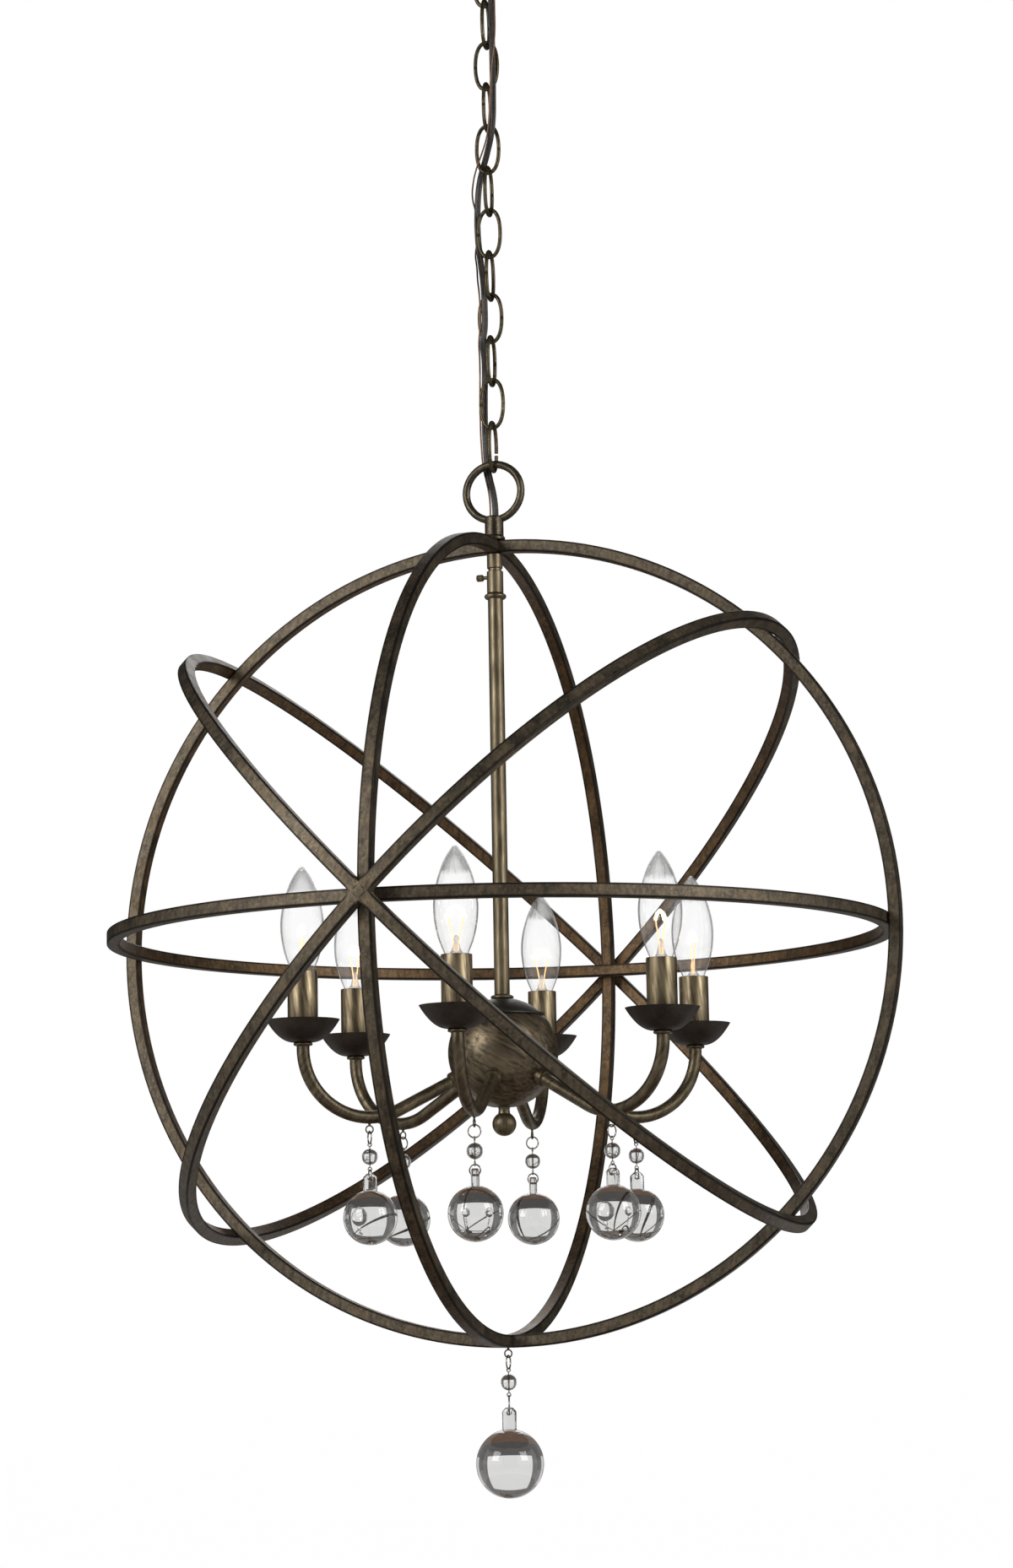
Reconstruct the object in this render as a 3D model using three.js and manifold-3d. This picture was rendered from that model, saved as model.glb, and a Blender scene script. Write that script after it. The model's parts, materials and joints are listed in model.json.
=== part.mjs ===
// An orb chandelier: five nested square-bar rings round a six-candle cluster,
// hung from a ceiling canopy by a chain, with clear ball drops.
// Millimetres, +Z up, origin on the ceiling over the middle of the canopy.

import * as THREE from 'three';
import { mergeVertices } from 'three/addons/utils/BufferGeometryUtils.js';
import Module from 'manifold-3d';

const wasm = await Module();
wasm.setup();

// Gaps and overruns
const seam = 0.3;
const weldGap = 0.4;
const hangGap = 0.3;
const overrun = 3;

// Ceiling strap
const strapLength = 104;
const strapWidth = 20;
const strapThickness = 2;
const strapSlotLength = 14;
const strapSlotWidth = 4.6;
const strapSlotReach = 38;
const yokeSpan = 28;
const yokeDrop = 11;
const nippleRise = 3;

// Canopy
const canopyRadius = 63.5;
const canopyDepth = 26;
const canopyWall = 1.4;
const canopyFlat = 15;
const canopyRim = 4;
const canopyStepWidth = 5;
const canopyStepHeight = 5;

// Loop under the canopy
const nippleRadius = 6.2;
const wireway = 4.4;
const canopyCollarRadius = 7.6;
const canopyCollarHeight = 12;
const canopyLoopRadius = 11;
const canopyLoopWire = 4;
const loopBite = 2;

// Chain
const linkCount = 12;
const linkLength = 41.5;
const linkWidth = 21;
const linkWire = 3.5;
const linkMouth = 2.1;
const mouthDrop = 4;
const crownShare = 0.87;

// Loop on top of the orb
const topLoopRadius = 22;
const topLoopWire = 6;
const topCollarRadius = 7.2;
const topCollarHeight = 15.4;
const topFlangeRadius = 8.3;
const topFlangeHeight = 4;

// Orb rings
const barSize = 9.5;
const faceRingRadius = 305;
const diagonalLean = THREE.MathUtils.degToRad(45);
const nippleThin = 3.1;
const eyeRadius = 2.75;
const eyeWire = 1.1;
const eyeShank = 1.4;

// Stem
const couplingRadius = 6;
const couplingHeight = 11.4;
const grooveRadius = 5;
const grooveHeight = 2;
const sleeveSeatRadius = 4.6;
const sleeveHeight = 17.4;
const sleeveWall = 1.4;
const stemRadius = 5.8;
const beadRadius = 8.4;
const beadHeight = 4;
const stemFlangeRadius = 8.6;
const stemFlangeHeight = 3;
const stemTail = 7;
const stemTailRadius = 4;

// Thumb screw
const screwRadius = 1.4;
const screwLength = 4.6;
const thumbHeadRadius = 2.7;
const thumbHeadLength = 5;
const thumbNeck = 1.2;

// Hub
const hubRadius = 41.3;
const hubRise = 217.8;
const hubSeamRise = 27.6;
const hubLip = 0.9;
const hubLipHeight = 2;
const hubTopFlat = 9.4;

// Finial
const finialRadius = 9;
const finialNeckRadius = 4.6;
const finialNeckLength = 3.4;

// Arms
const armCount = 6;
const firstArm = THREE.MathUtils.degToRad(35.5);
const armReach = 154.5;
const armRadius = 4.75;
const armBend = 50;
const armDrop = 48.1;
const armSlope = THREE.MathUtils.degToRad(27);
const ferruleRadius = 6.6;
const ferruleLength = 5;
const seatRadius = 7.1;
const seatHeight = 2.2;
const postRadius = 3.4;

// Bobeche
const bobecheRadius = 27.3;
const bobecheDepth = 16.6;
const bobecheWall = 1.2;
const bobecheRise = 6.8;

// Candle sleeve and socket
const sleeveRadius = 11.25;
const sleeveTube = 0.9;
const candleHeight = 50;
const socketGap = 1.1;
const socketWall = 2;
const socketHeight = 33;
const socketFloor = 6;

// Bulb
const bulbRadius = 16.2;
const bulbHeight = 78;
const bulbBaseLength = 19;

// Crystal drops
const dropWire = 1.1;
const beadBall = 5.9;
const pinLength = 4;
const pinRadius = 0.9;
const tabWidth = 10;
const tabThickness = 4.4;
const tabHole = 1.7;
const armDropSizes = { ring: 4.6, lower: 4, tab: 12, ball: 20 };
const lowDropSizes = { ring: 5, lower: 7, tab: 15.6, ball: 25 };
const loopOverlap = 0.35;

// Cords
const cordWidth = 5;
const cordThickness = 2.6;
const groundRadius = 0.7;

// Facet counts
const ringFacets = 48;
const wireSides = 8;
const chainSides = 6;
const thinSides = 4;
const linkSteps = 16;
const turnedFacets = 16;
const smallFacets = 12;
const wireFacets = 8;
const armSteps = 10;
const hubFacets = 24;
const cordSteps = 44;

// Finishes
const bronze = { color: 0x4a3b2c, roughness: 0.5, metalness: 0.75 };
const paleBronze = { color: 0x8a7350, roughness: 0.42, metalness: 0.8 };
const steel = { color: 0x9a9a98, roughness: 0.4, metalness: 0.9 };
const glass = { color: 0xdfe4e6, roughness: 0.05, metalness: 0 };
const copper = { color: 0xa8683c, roughness: 0.4, metalness: 0.9 };
const cordSkin = { color: 0x2c221c, roughness: 0.6, metalness: 0 };

// Levels worked out from the sizes
const canopyLoopTop = -canopyDepth - seam;
const canopyLoopCentre = canopyLoopTop - canopyCollarHeight - canopyLoopRadius + loopBite;
const linkInner = linkLength / 2 - linkWire;
const firstLink = canopyLoopCentre - canopyLoopRadius + canopyLoopWire / 2 + hangGap - linkInner;
const linkPitch = linkLength - linkWire * 2 - hangGap;
const lastLink = firstLink - linkPitch * (linkCount - 1);
const topLoopCentre = lastLink - linkInner + hangGap - topLoopRadius + topLoopWire / 2;
const collarFoot = topLoopCentre - topLoopRadius + topLoopWire / 2 - topCollarHeight - topFlangeHeight;
const orbCentre = collarFoot - seam - faceRingRadius;
const facetDip = (width) => (width / 2) * Math.tan(Math.PI / ringFacets);
const ringInner = faceRingRadius - barSize;
const equatorRadius = ringInner - seam - facetDip(barSize);
const diagonalRadius = faceRingRadius + seam + facetDip(barSize) + barSize;
const hubCentre = orbCentre - faceRingRadius + hubRise;
const armCentreLine = hubCentre - armDrop;
const bobecheFoot = hubCentre + bobecheRise;
const bobecheFloorShare = 0.05;
const bobecheFloor = bobecheFoot + bobecheWall + bobecheDepth * bobecheFloorShare;
const socketRadius = sleeveRadius - sleeveTube - socketGap;
const socketBore = socketRadius - socketWall;
const socketFoot = bobecheFloor + seam;
const candleFoot = bobecheFloor + seam;
const candleTop = candleFoot + candleHeight;

// A closed solid from a geometry: only positions are kept and shared points are merged.
function solid(geometry) {
  const bare = new THREE.BufferGeometry();
  bare.setAttribute('position', geometry.getAttribute('position').clone());
  if (geometry.index) bare.setIndex(geometry.index.clone());
  const merged = mergeVertices(bare, 1e-4);
  const corners = Array.from(merged.index.array);
  const kept = [];
  for (let i = 0; i < corners.length; i += 3) {
    const [a, b, c] = corners.slice(i, i + 3);
    if (a !== b && b !== c && c !== a) kept.push(a, b, c);
  }
  const at = merged.getAttribute('position');
  const p = new THREE.Vector3();
  const q = new THREE.Vector3();
  const r = new THREE.Vector3();
  let volume = 0;
  for (let i = 0; i < kept.length; i += 3) {
    p.fromBufferAttribute(at, kept[i]);
    q.fromBufferAttribute(at, kept[i + 1]);
    r.fromBufferAttribute(at, kept[i + 2]);
    volume += p.dot(q.cross(r));
  }
  if (volume < 0) {
    for (let i = 0; i < kept.length; i += 3) [kept[i + 1], kept[i + 2]] = [kept[i + 2], kept[i + 1]];
  }
  return new wasm.Manifold(
    new wasm.Mesh({ numProp: 3, vertProperties: new Float32Array(at.array), triVerts: new Uint32Array(kept) }),
  );
}

// Back from a solid to a geometry that a mesh can carry.
function geometryOf(body) {
  const data = body.getMesh();
  const geometry = new THREE.BufferGeometry();
  geometry.setAttribute('position', new THREE.BufferAttribute(new Float32Array(data.vertProperties), 3));
  geometry.setIndex(new THREE.BufferAttribute(new Uint32Array(data.triVerts), 1));
  geometry.computeVertexNormals();
  return geometry;
}

const fixture = new THREE.Group();

function piece(name, body, finish, parent = fixture) {
  const mesh = new THREE.Mesh(geometryOf(body), new THREE.MeshStandardMaterial(finish));
  mesh.name = name;
  parent.add(mesh);
  return mesh;
}

// A turned piece about Z from a closed profile of [radius, height] pairs.
function turned(profile, facets = turnedFacets) {
  const points = profile.map(([radius, height]) => new THREE.Vector2(radius, height));
  points.push(points[0].clone());
  return solid(new THREE.LatheGeometry(points, facets).rotateX(Math.PI / 2));
}

function block(x, y, z, centre) {
  return solid(new THREE.BoxGeometry(x, y, z).translate(centre.x, centre.y, centre.z));
}

// A round wire ring in the XZ plane (or turned into the YZ plane).
function wireRing(radius, wire, centre, acrossY = false, around = wireFacets, sides = thinSides) {
  const geometry = new THREE.TorusGeometry(radius, wire / 2, sides, around).rotateX(Math.PI / 2);
  if (acrossY) geometry.rotateZ(Math.PI / 2);
  return solid(geometry.translate(centre.x, centre.y, centre.z));
}

// Points at even turns of a circle, in the plane of an extrusion's section.
function ovalSection(width, height, sides) {
  const points = [];
  for (let i = 0; i < sides; i += 1) {
    const turn = ((i + 0.5) / sides) * Math.PI * 2;
    points.push(new THREE.Vector2((Math.cos(turn) * width) / 2, (Math.sin(turn) * height) / 2));
  }
  return new THREE.Shape(points);
}

// Ceiling strap: a flat bar with two slots and a yoke that holds the threaded tube
{
  const middle = -strapThickness / 2;
  const yokeFloor = -yokeDrop + strapThickness / 2;
  let strap = block(strapLength, strapWidth, strapThickness, new THREE.Vector3(0, 0, middle));
  strap = strap.add(block(yokeSpan, strapWidth, strapThickness, new THREE.Vector3(0, 0, yokeFloor)));
  for (const side of [1, -1]) {
    const leg = new THREE.Vector3((side * (yokeSpan - strapThickness)) / 2, 0, -yokeDrop / 2);
    strap = strap.add(block(strapThickness, strapWidth, yokeDrop, leg));
  }
  const hole = turned([
    [0, -yokeDrop - overrun],
    [nippleRadius + seam, -yokeDrop - overrun],
    [nippleRadius + seam, -yokeDrop + strapThickness + overrun],
    [0, -yokeDrop + strapThickness + overrun],
  ]);
  strap = strap.subtract(hole);
  for (const reach of [strapSlotReach, -strapSlotReach]) {
    const place = new THREE.Vector3(reach, 0, middle);
    strap = strap.subtract(block(strapSlotLength, strapSlotWidth, strapThickness + overrun, place));
  }
  piece('mounting_strap', strap, steel);
}

// Canopy: a spun dome with a stepped rim, open towards the ceiling
{
  const domeShares = [
    [1, 0],
    [0.95, 0.3],
    [0.78, 0.66],
    [0.5, 0.9],
  ];
  const domeRadius = canopyRadius - canopyStepWidth;
  const domeFoot = -canopyRim - canopyStepHeight;
  const domeDrop = canopyDepth + domeFoot;
  const outer = domeShares.map(([reach, drop]) => [domeRadius * reach, domeFoot - domeDrop * drop]);
  const inner = domeShares.map(([reach, drop]) => [
    domeRadius * reach - canopyWall,
    domeFoot + canopyWall / 2 - (domeDrop - canopyWall / 2) * drop,
  ]);
  const profile = [
    [canopyRadius, 0],
    [canopyRadius, -canopyRim],
    ...outer,
    [canopyFlat, -canopyDepth],
    [nippleRadius + seam, -canopyDepth],
    [nippleRadius + seam, -canopyDepth + canopyWall],
    [canopyFlat, -canopyDepth + canopyWall],
    ...inner.reverse(),
    [canopyRadius - canopyWall, -canopyRim + canopyWall / 2],
    [canopyRadius - canopyWall, 0],
  ];
  piece('canopy', turned(profile, turnedFacets), bronze);
}

// Canopy loop: threaded tube, collar and ring in one
{
  const top = -yokeDrop + strapThickness + nippleRise;
  const collarBottom = canopyLoopTop - canopyCollarHeight;
  const shank = turned([
    [0, top],
    [nippleRadius, top],
    [nippleRadius, canopyLoopTop],
    [canopyCollarRadius, canopyLoopTop],
    [canopyCollarRadius, collarBottom + canopyLoopWire / 2],
    [canopyCollarRadius - canopyWall, collarBottom],
    [0, collarBottom],
  ]);
  const ring = wireRing(
    canopyLoopRadius,
    canopyLoopWire,
    new THREE.Vector3(0, 0, canopyLoopCentre),
    true,
    smallFacets + thinSides,
    chainSides,
  );
  const bore = turned([
    [0, top + overrun],
    [wireway, top + overrun],
    [wireway, collarBottom - canopyLoopWire],
    [0, collarBottom - canopyLoopWire],
  ]);
  piece('canopy_loop', shank.add(ring).subtract(bore), bronze);
}

// One chain link in the XZ plane: a round wire bent to a long oval, fuller at its ends than an ellipse
function linkSolid(mouth) {
  const halfWidth = (linkWidth - linkWire) / 2;
  const halfLength = (linkLength - linkWire) / 2;
  const fuller = (value) => Math.sign(value) * Math.abs(value) ** crownShare;
  const pointAt = (step) => {
    const turn = (step / linkSteps) * Math.PI * 2;
    return new THREE.Vector2(fuller(Math.cos(turn)) * halfWidth, fuller(Math.sin(turn)) * halfLength);
  };
  const positions = [];
  const index = [];
  for (let i = 0; i < linkSteps; i += 1) {
    const here = pointAt(i);
    const along = pointAt(i + 1).sub(pointAt(i - 1));
    const out = new THREE.Vector2(along.y, -along.x).normalize();
    for (let k = 0; k < chainSides; k += 1) {
      const around = (k / chainSides) * Math.PI * 2;
      const reach = (Math.cos(around) * linkWire) / 2;
      positions.push(here.x + out.x * reach, (Math.sin(around) * linkWire) / 2, here.y + out.y * reach);
      const a = i * chainSides + k;
      const b = i * chainSides + ((k + 1) % chainSides);
      const c = ((i + 1) % linkSteps) * chainSides + k;
      const d = ((i + 1) % linkSteps) * chainSides + ((k + 1) % chainSides);
      index.push(a, c, b, b, c, d);
    }
  }
  const geometry = new THREE.BufferGeometry();
  geometry.setAttribute('position', new THREE.Float32BufferAttribute(positions, 3));
  geometry.setIndex(index);
  const link = solid(geometry);
  if (!mouth) return link;
  const place = new THREE.Vector3(halfWidth, 0, -mouthDrop);
  return link.subtract(block(linkWire + overrun, linkWire + overrun, linkMouth, place));
}

// Chain: every second link is turned by a quarter, and the last one has an open seam
const closedLink = linkSolid(false);
const openLink = linkSolid(true);
for (let i = 0; i < linkCount; i += 1) {
  const name = `chain_link_${String(i + 1).padStart(2, '0')}`;
  const link = piece(name, i === linkCount - 1 ? openLink : closedLink, bronze);
  link.position.z = firstLink - linkPitch * i;
  link.rotation.z = i % 2 === 0 ? 0 : Math.PI / 2;
}

// Top loop: ring, collar and flange, bored for the stem below and the cord above
{
  const collarTop = collarFoot + topFlangeHeight + topCollarHeight;
  const collar = turned([
    [0, collarFoot],
    [topFlangeRadius, collarFoot],
    [topFlangeRadius, collarFoot + topFlangeHeight / 2],
    [topCollarRadius, collarFoot + topFlangeHeight],
    [topCollarRadius, collarTop - topLoopWire / 2],
    [topCollarRadius - canopyWall, collarTop],
    [0, collarTop],
  ]);
  const ring = wireRing(
    topLoopRadius,
    topLoopWire,
    new THREE.Vector3(0, 0, topLoopCentre),
    false,
    turnedFacets,
    chainSides,
  );
  const bore = turned([
    [0, collarFoot - overrun],
    [nippleThin + seam, collarFoot - overrun],
    [nippleThin + seam, collarFoot + topFlangeHeight + seam],
    [wireway, collarFoot + topFlangeHeight + seam],
    [wireway, collarTop + topLoopWire],
    [0, collarTop + topLoopWire],
  ]);
  piece('top_loop', collar.add(ring).subtract(bore), bronze);
}

// A square-bar ring about the Y axis
function barRing(outer) {
  const half = barSize / 2;
  const points = [
    new THREE.Vector2(outer - barSize, -half),
    new THREE.Vector2(outer, -half),
    new THREE.Vector2(outer, half),
    new THREE.Vector2(outer - barSize, half),
    new THREE.Vector2(outer - barSize, -half),
  ];
  return new THREE.LatheGeometry(points, ringFacets);
}

// Halving cut across a bar: the half outside or inside the middle of the bar is cleared
function halving(outer, keepOuter) {
  const middle = outer - barSize / 2;
  const clear = barSize + weldGap * 2;
  const depth = barSize / 2 + overrun;
  const cuts = [];
  for (const end of [1, -1]) {
    const centre = keepOuter ? middle + weldGap / 2 - depth / 2 : middle - weldGap / 2 + depth / 2;
    cuts.push(block(clear, clear, depth, new THREE.Vector3(0, 0, centre * end)));
  }
  return cuts[0].add(cuts[1]);
}

// A small wire eye on a shank, in the XZ plane, hanging from a level
function hangingEye(level) {
  const centre = level - eyeShank - eyeRadius;
  const shank = turned(
    [
      [0, level + eyeWire],
      [eyeWire, level + eyeWire],
      [eyeWire, centre + eyeRadius - eyeWire / 4],
      [0, centre + eyeRadius - eyeWire / 4],
    ],
    wireSides,
  );
  return shank.add(wireRing(eyeRadius, eyeWire, new THREE.Vector3(0, 0, centre)));
}

// Orb rings, halved into each other where they cross at one radius
{
  const shaft = turned([
    [0, -faceRingRadius * 2],
    [nippleThin + seam, -faceRingRadius * 2],
    [nippleThin + seam, faceRingRadius * 2],
    [0, faceRingRadius * 2],
  ]);
  const top = block(barSize * 2, barSize * 2, faceRingRadius, new THREE.Vector3(0, 0, faceRingRadius));
  const hole = shaft.intersect(top);
  const centre = new THREE.Group();
  centre.position.z = orbCentre;
  fixture.add(centre);
  const face = solid(barRing(faceRingRadius)).subtract(halving(faceRingRadius, true)).subtract(hole);
  piece('face_ring', face.add(hangingEye(-faceRingRadius)), bronze, centre);
  const across = solid(barRing(faceRingRadius).rotateZ(Math.PI / 2));
  piece('side_ring', across.subtract(halving(faceRingRadius, false)).subtract(hole), bronze, centre);
  piece('equator_ring', solid(barRing(equatorRadius).rotateX(Math.PI / 2)), bronze, centre);

  // The leaning rings cross at the front and back, so their halvings lie along Y
  const upright = (keepOuter) => {
    const cuts = halving(diagonalRadius, keepOuter).rotate([90, 0, 0]);
    return solid(barRing(diagonalRadius).rotateZ(Math.PI / 2)).subtract(cuts);
  };
  piece('rising_ring', upright(true), bronze, centre).rotation.y = diagonalLean;
  piece('falling_ring', upright(false), bronze, centre).rotation.y = -diagonalLean;
}

// Stem: thin nipple through the crossing, coupling, sleeve seat, bead, tube and flange
const couplingTop = orbCentre + ringInner - seam - facetDip(couplingRadius * 2);
const sleeveTop = couplingTop - couplingHeight - grooveHeight;
const sleeveBottom = sleeveTop - sleeveHeight;
const hubTop = hubCentre + Math.sqrt(hubRadius ** 2 - hubTopFlat ** 2);
{
  const foot = hubTop + seam;
  piece(
    'stem',
    turned(
      [
        [0, collarFoot + topFlangeHeight],
        [nippleThin, collarFoot + topFlangeHeight],
        [nippleThin, couplingTop],
        [couplingRadius, couplingTop],
        [couplingRadius, couplingTop - couplingHeight],
        [grooveRadius, couplingTop - couplingHeight],
        [grooveRadius, sleeveTop + seam],
        [sleeveSeatRadius, sleeveTop + seam],
        [sleeveSeatRadius, sleeveBottom - seam],
        [stemRadius, sleeveBottom - seam],
        [beadRadius, sleeveBottom - beadHeight / 2],
        [stemRadius, sleeveBottom - beadHeight],
        [stemRadius, foot + stemFlangeHeight],
        [stemFlangeRadius, foot + stemFlangeHeight / 2],
        [stemFlangeRadius, foot],
        [stemTailRadius, foot],
        [stemTailRadius, foot - stemTail],
        [0, foot - stemTail],
      ],
      smallFacets,
    ),
    paleBronze,
  );
}

// Slip sleeve with the threaded hole of its thumb screw
const sleeveInner = sleeveSeatRadius + seam;
const sleeveOuter = sleeveInner + sleeveWall;
const screwLevel = sleeveTop - sleeveHeight / 4;
{
  const tube = turned(
    [
      [sleeveInner, sleeveBottom],
      [sleeveOuter, sleeveBottom],
      [sleeveOuter, sleeveTop],
      [sleeveInner, sleeveTop],
    ],
    smallFacets,
  );
  const hole = turned(
    [
      [0, 0],
      [screwRadius + seam, 0],
      [screwRadius + seam, sleeveOuter + overrun],
      [0, sleeveOuter + overrun],
    ],
    wireSides,
  )
    .rotate([0, -90, 0])
    .translate([0, 0, screwLevel]);
  piece('slip_sleeve', tube.subtract(hole), paleBronze);
}

// Thumb screw: shank and ribbed head, pointing to -X
{
  const tip = sleeveInner;
  const head = tip + screwLength;
  const screw = turned(
    [
      [0, tip],
      [screwRadius, tip],
      [screwRadius, head],
      [thumbHeadRadius - thumbNeck / 2, head],
      [thumbHeadRadius, head + thumbNeck],
      [thumbHeadRadius, head + thumbHeadLength - thumbNeck / 2],
      [thumbHeadRadius - thumbNeck / 2, head + thumbHeadLength],
      [0, head + thumbHeadLength],
    ],
    wireFacets,
  );
  piece('thumb_screw', screw.rotate([0, -90, 0]).translate([0, 0, screwLevel]), paleBronze);
}

// Hub: a ball in two parts, a cap above the seam and a bowl below
const ballReach = (height) => Math.sqrt(hubRadius ** 2 - height ** 2);
{
  const capSteps = 3;
  const cap = [[0, hubCentre + hubSeamRise]];
  cap.push([ballReach(hubSeamRise) + hubLip, hubCentre + hubSeamRise]);
  cap.push([ballReach(hubSeamRise) + hubLip, hubCentre + hubSeamRise + hubLipHeight / 2]);
  const capLow = hubSeamRise + hubLipHeight;
  const capHigh = hubTop - hubCentre;
  for (let i = 0; i <= capSteps; i += 1) {
    const height = capLow + ((capHigh - capLow) * i) / capSteps;
    cap.push([ballReach(height), hubCentre + height]);
  }
  cap.push([0, hubTop]);
  const well = turned(
    [
      [0, hubTop + overrun],
      [stemTailRadius + seam * 2, hubTop + overrun],
      [stemTailRadius + seam * 2, hubTop - stemTail],
      [0, hubTop - stemTail],
    ],
    smallFacets,
  );
  piece('hub_cap', turned(cap, hubFacets).subtract(well), bronze);
}
function bowlProfile(radius, top) {
  const bowlSteps = 6;
  const low = Math.asin((-hubRadius + hubLip) / hubRadius);
  const high = Math.asin(top / hubRadius);
  const profile = [[0, hubCentre + Math.sin(low) * radius]];
  for (let i = 0; i <= bowlSteps; i += 1) {
    const turn = low + ((high - low) * i) / bowlSteps;
    profile.push([Math.cos(turn) * radius, hubCentre + Math.sin(turn) * radius]);
  }
  profile.push([0, hubCentre + Math.sin(high) * radius]);
  return profile;
}
piece('hub_bowl', turned(bowlProfile(hubRadius, hubSeamRise - seam), hubFacets), bronze).rotation.z = firstArm;

// Finial: a short neck and a ball under the hub
{
  const top = hubCentre - hubRadius + hubLip - seam;
  const centre = top - finialNeckLength - finialRadius;
  const ballSteps = 6;
  const start = Math.acos(finialNeckRadius / finialRadius);
  const profile = [
    [0, top],
    [finialNeckRadius, top],
  ];
  for (let i = 0; i <= ballSteps; i += 1) {
    const turn = start - ((start + Math.PI / 2) * i) / ballSteps;
    profile.push([Math.max(0, Math.cos(turn) * finialRadius), centre + Math.sin(turn) * finialRadius]);
  }
  piece('finial', turned(profile.reverse(), smallFacets), paleBronze);
}

// Arm centre line in the XZ plane: straight out of the hub, round the bend, up to the seat
class ArmCurve extends THREE.Curve {
  constructor() {
    super();
    this.bendX = armReach - armBend;
    this.bendZ = armCentreLine + armBend;
    this.inner = new THREE.Vector3(
      this.bendX - Math.sin(armSlope) * armBend,
      0,
      this.bendZ - Math.cos(armSlope) * armBend,
    );
    this.slopeLength = this.inner.x / Math.cos(armSlope) - hubRadius + ferruleLength;
    this.arcLength = armBend * (Math.PI / 2 + armSlope);
    this.riseLength = bobecheFoot - seam - this.bendZ;
    this.total = this.slopeLength + this.arcLength + this.riseLength;
  }

  getPoint(t, target = new THREE.Vector3()) {
    const s = t * this.total;
    if (s < this.slopeLength) {
      const back = this.slopeLength - s;
      return target.set(this.inner.x - Math.cos(armSlope) * back, 0, this.inner.z + Math.sin(armSlope) * back);
    }
    if (s < this.slopeLength + this.arcLength) {
      const turn = (s - this.slopeLength) / armBend - armSlope;
      return target.set(this.bendX + Math.sin(turn) * armBend, 0, this.bendZ - Math.cos(turn) * armBend);
    }
    return target.set(armReach, 0, this.bendZ + s - this.slopeLength - this.arcLength);
  }
}

// Arm: tube, hub ferrule, seat ring, post through the bobeche, socket cup and drop eye
function armSolid() {
  const curve = new ArmCurve();
  const tube = solid(
    new THREE.ExtrudeGeometry(ovalSection(armRadius * 2, armRadius * 2, wireFacets), {
      steps: armSteps,
      bevelEnabled: false,
      extrudePath: curve,
    }),
  );
  const slope = 90 + THREE.MathUtils.radToDeg(armSlope);
  const start = curve.getPoint(0);
  const ferrule = turned(
    [
      [0, 0],
      [ferruleRadius, 0],
      [ferruleRadius, ferruleLength * 2],
      [armRadius - seam, ferruleLength * 2 + seam],
      [0, ferruleLength * 2 + seam],
    ],
    wireFacets,
  )
    .rotate([0, slope, 0])
    .translate([start.x, 0, start.z]);
  const seat = turned(
    [
      [0, bobecheFoot - seam - seatHeight],
      [seatRadius, bobecheFoot - seam - seatHeight],
      [seatRadius, bobecheFoot - seam],
      [postRadius, bobecheFoot - seam],
      [postRadius, socketFoot],
      [socketRadius, socketFoot],
      [socketRadius, socketFoot + socketHeight],
      [socketBore, socketFoot + socketHeight],
      [socketBore, socketFoot + socketFloor],
      [0, socketFoot + socketFloor],
    ],
    wireFacets,
  ).translate([armReach, 0, 0]);
  const eye = hangingEye(armCentreLine - armRadius).translate([curve.bendX, 0, 0]);
  const hub = turned(bowlProfile(hubRadius + seam, hubSeamRise - seam), hubFacets);
  return tube.add(ferrule).add(seat).add(eye).subtract(hub);
}

// Bobeche: a spun saucer with a flat floor for the sleeve and a hole for the post
function bobecheSolid() {
  const rimShares = [
    [0, bobecheFloorShare],
    [0.42, 0.26],
    [0.76, 0.58],
    [1, 1],
  ];
  const floorRadius = sleeveRadius + seam * 2;
  const spread = bobecheRadius - floorRadius;
  const outer = rimShares.map(([reach, rise]) => [floorRadius + spread * reach, bobecheFoot + bobecheDepth * rise]);
  const inner = rimShares.map(([reach, rise]) => [
    floorRadius + spread * reach - bobecheWall * rise,
    bobecheFoot + bobecheDepth * rise + bobecheWall * (1 - rise),
  ]);
  inner[0][1] = bobecheFloor;
  return turned(
    [
      [postRadius + weldGap, bobecheFoot],
      [seatRadius, bobecheFoot],
      ...outer,
      ...inner.reverse().slice(1),
      [postRadius + weldGap, bobecheFloor],
    ],
    smallFacets,
  );
}

// Candle sleeve: a thin tube over the socket
function candleSolid() {
  return turned(
    [
      [sleeveRadius - sleeveTube, candleFoot],
      [sleeveRadius, candleFoot],
      [sleeveRadius, candleTop],
      [sleeveRadius - sleeveTube, candleTop],
    ],
    smallFacets,
  );
}

// Bulb: a metal base and a clear torpedo envelope in one
function bulbSolid() {
  const envelopeShares = [
    [0.56, 0],
    [0.84, 0.14],
    [1, 0.34],
    [0.92, 0.52],
    [0.66, 0.72],
    [0.32, 0.89],
    [0.14, 0.975],
    [0, 1],
  ];
  const envelope = envelopeShares.map(([reach, rise]) => [bulbRadius * reach, candleTop + bulbHeight * rise]);
  const base = socketBore - socketGap;
  return turned(
    [
      [0, candleTop - bulbBaseLength],
      [base, candleTop - bulbBaseLength],
      [base, candleTop - seam * 2],
      ...envelope,
    ],
    smallFacets,
  );
}

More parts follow.
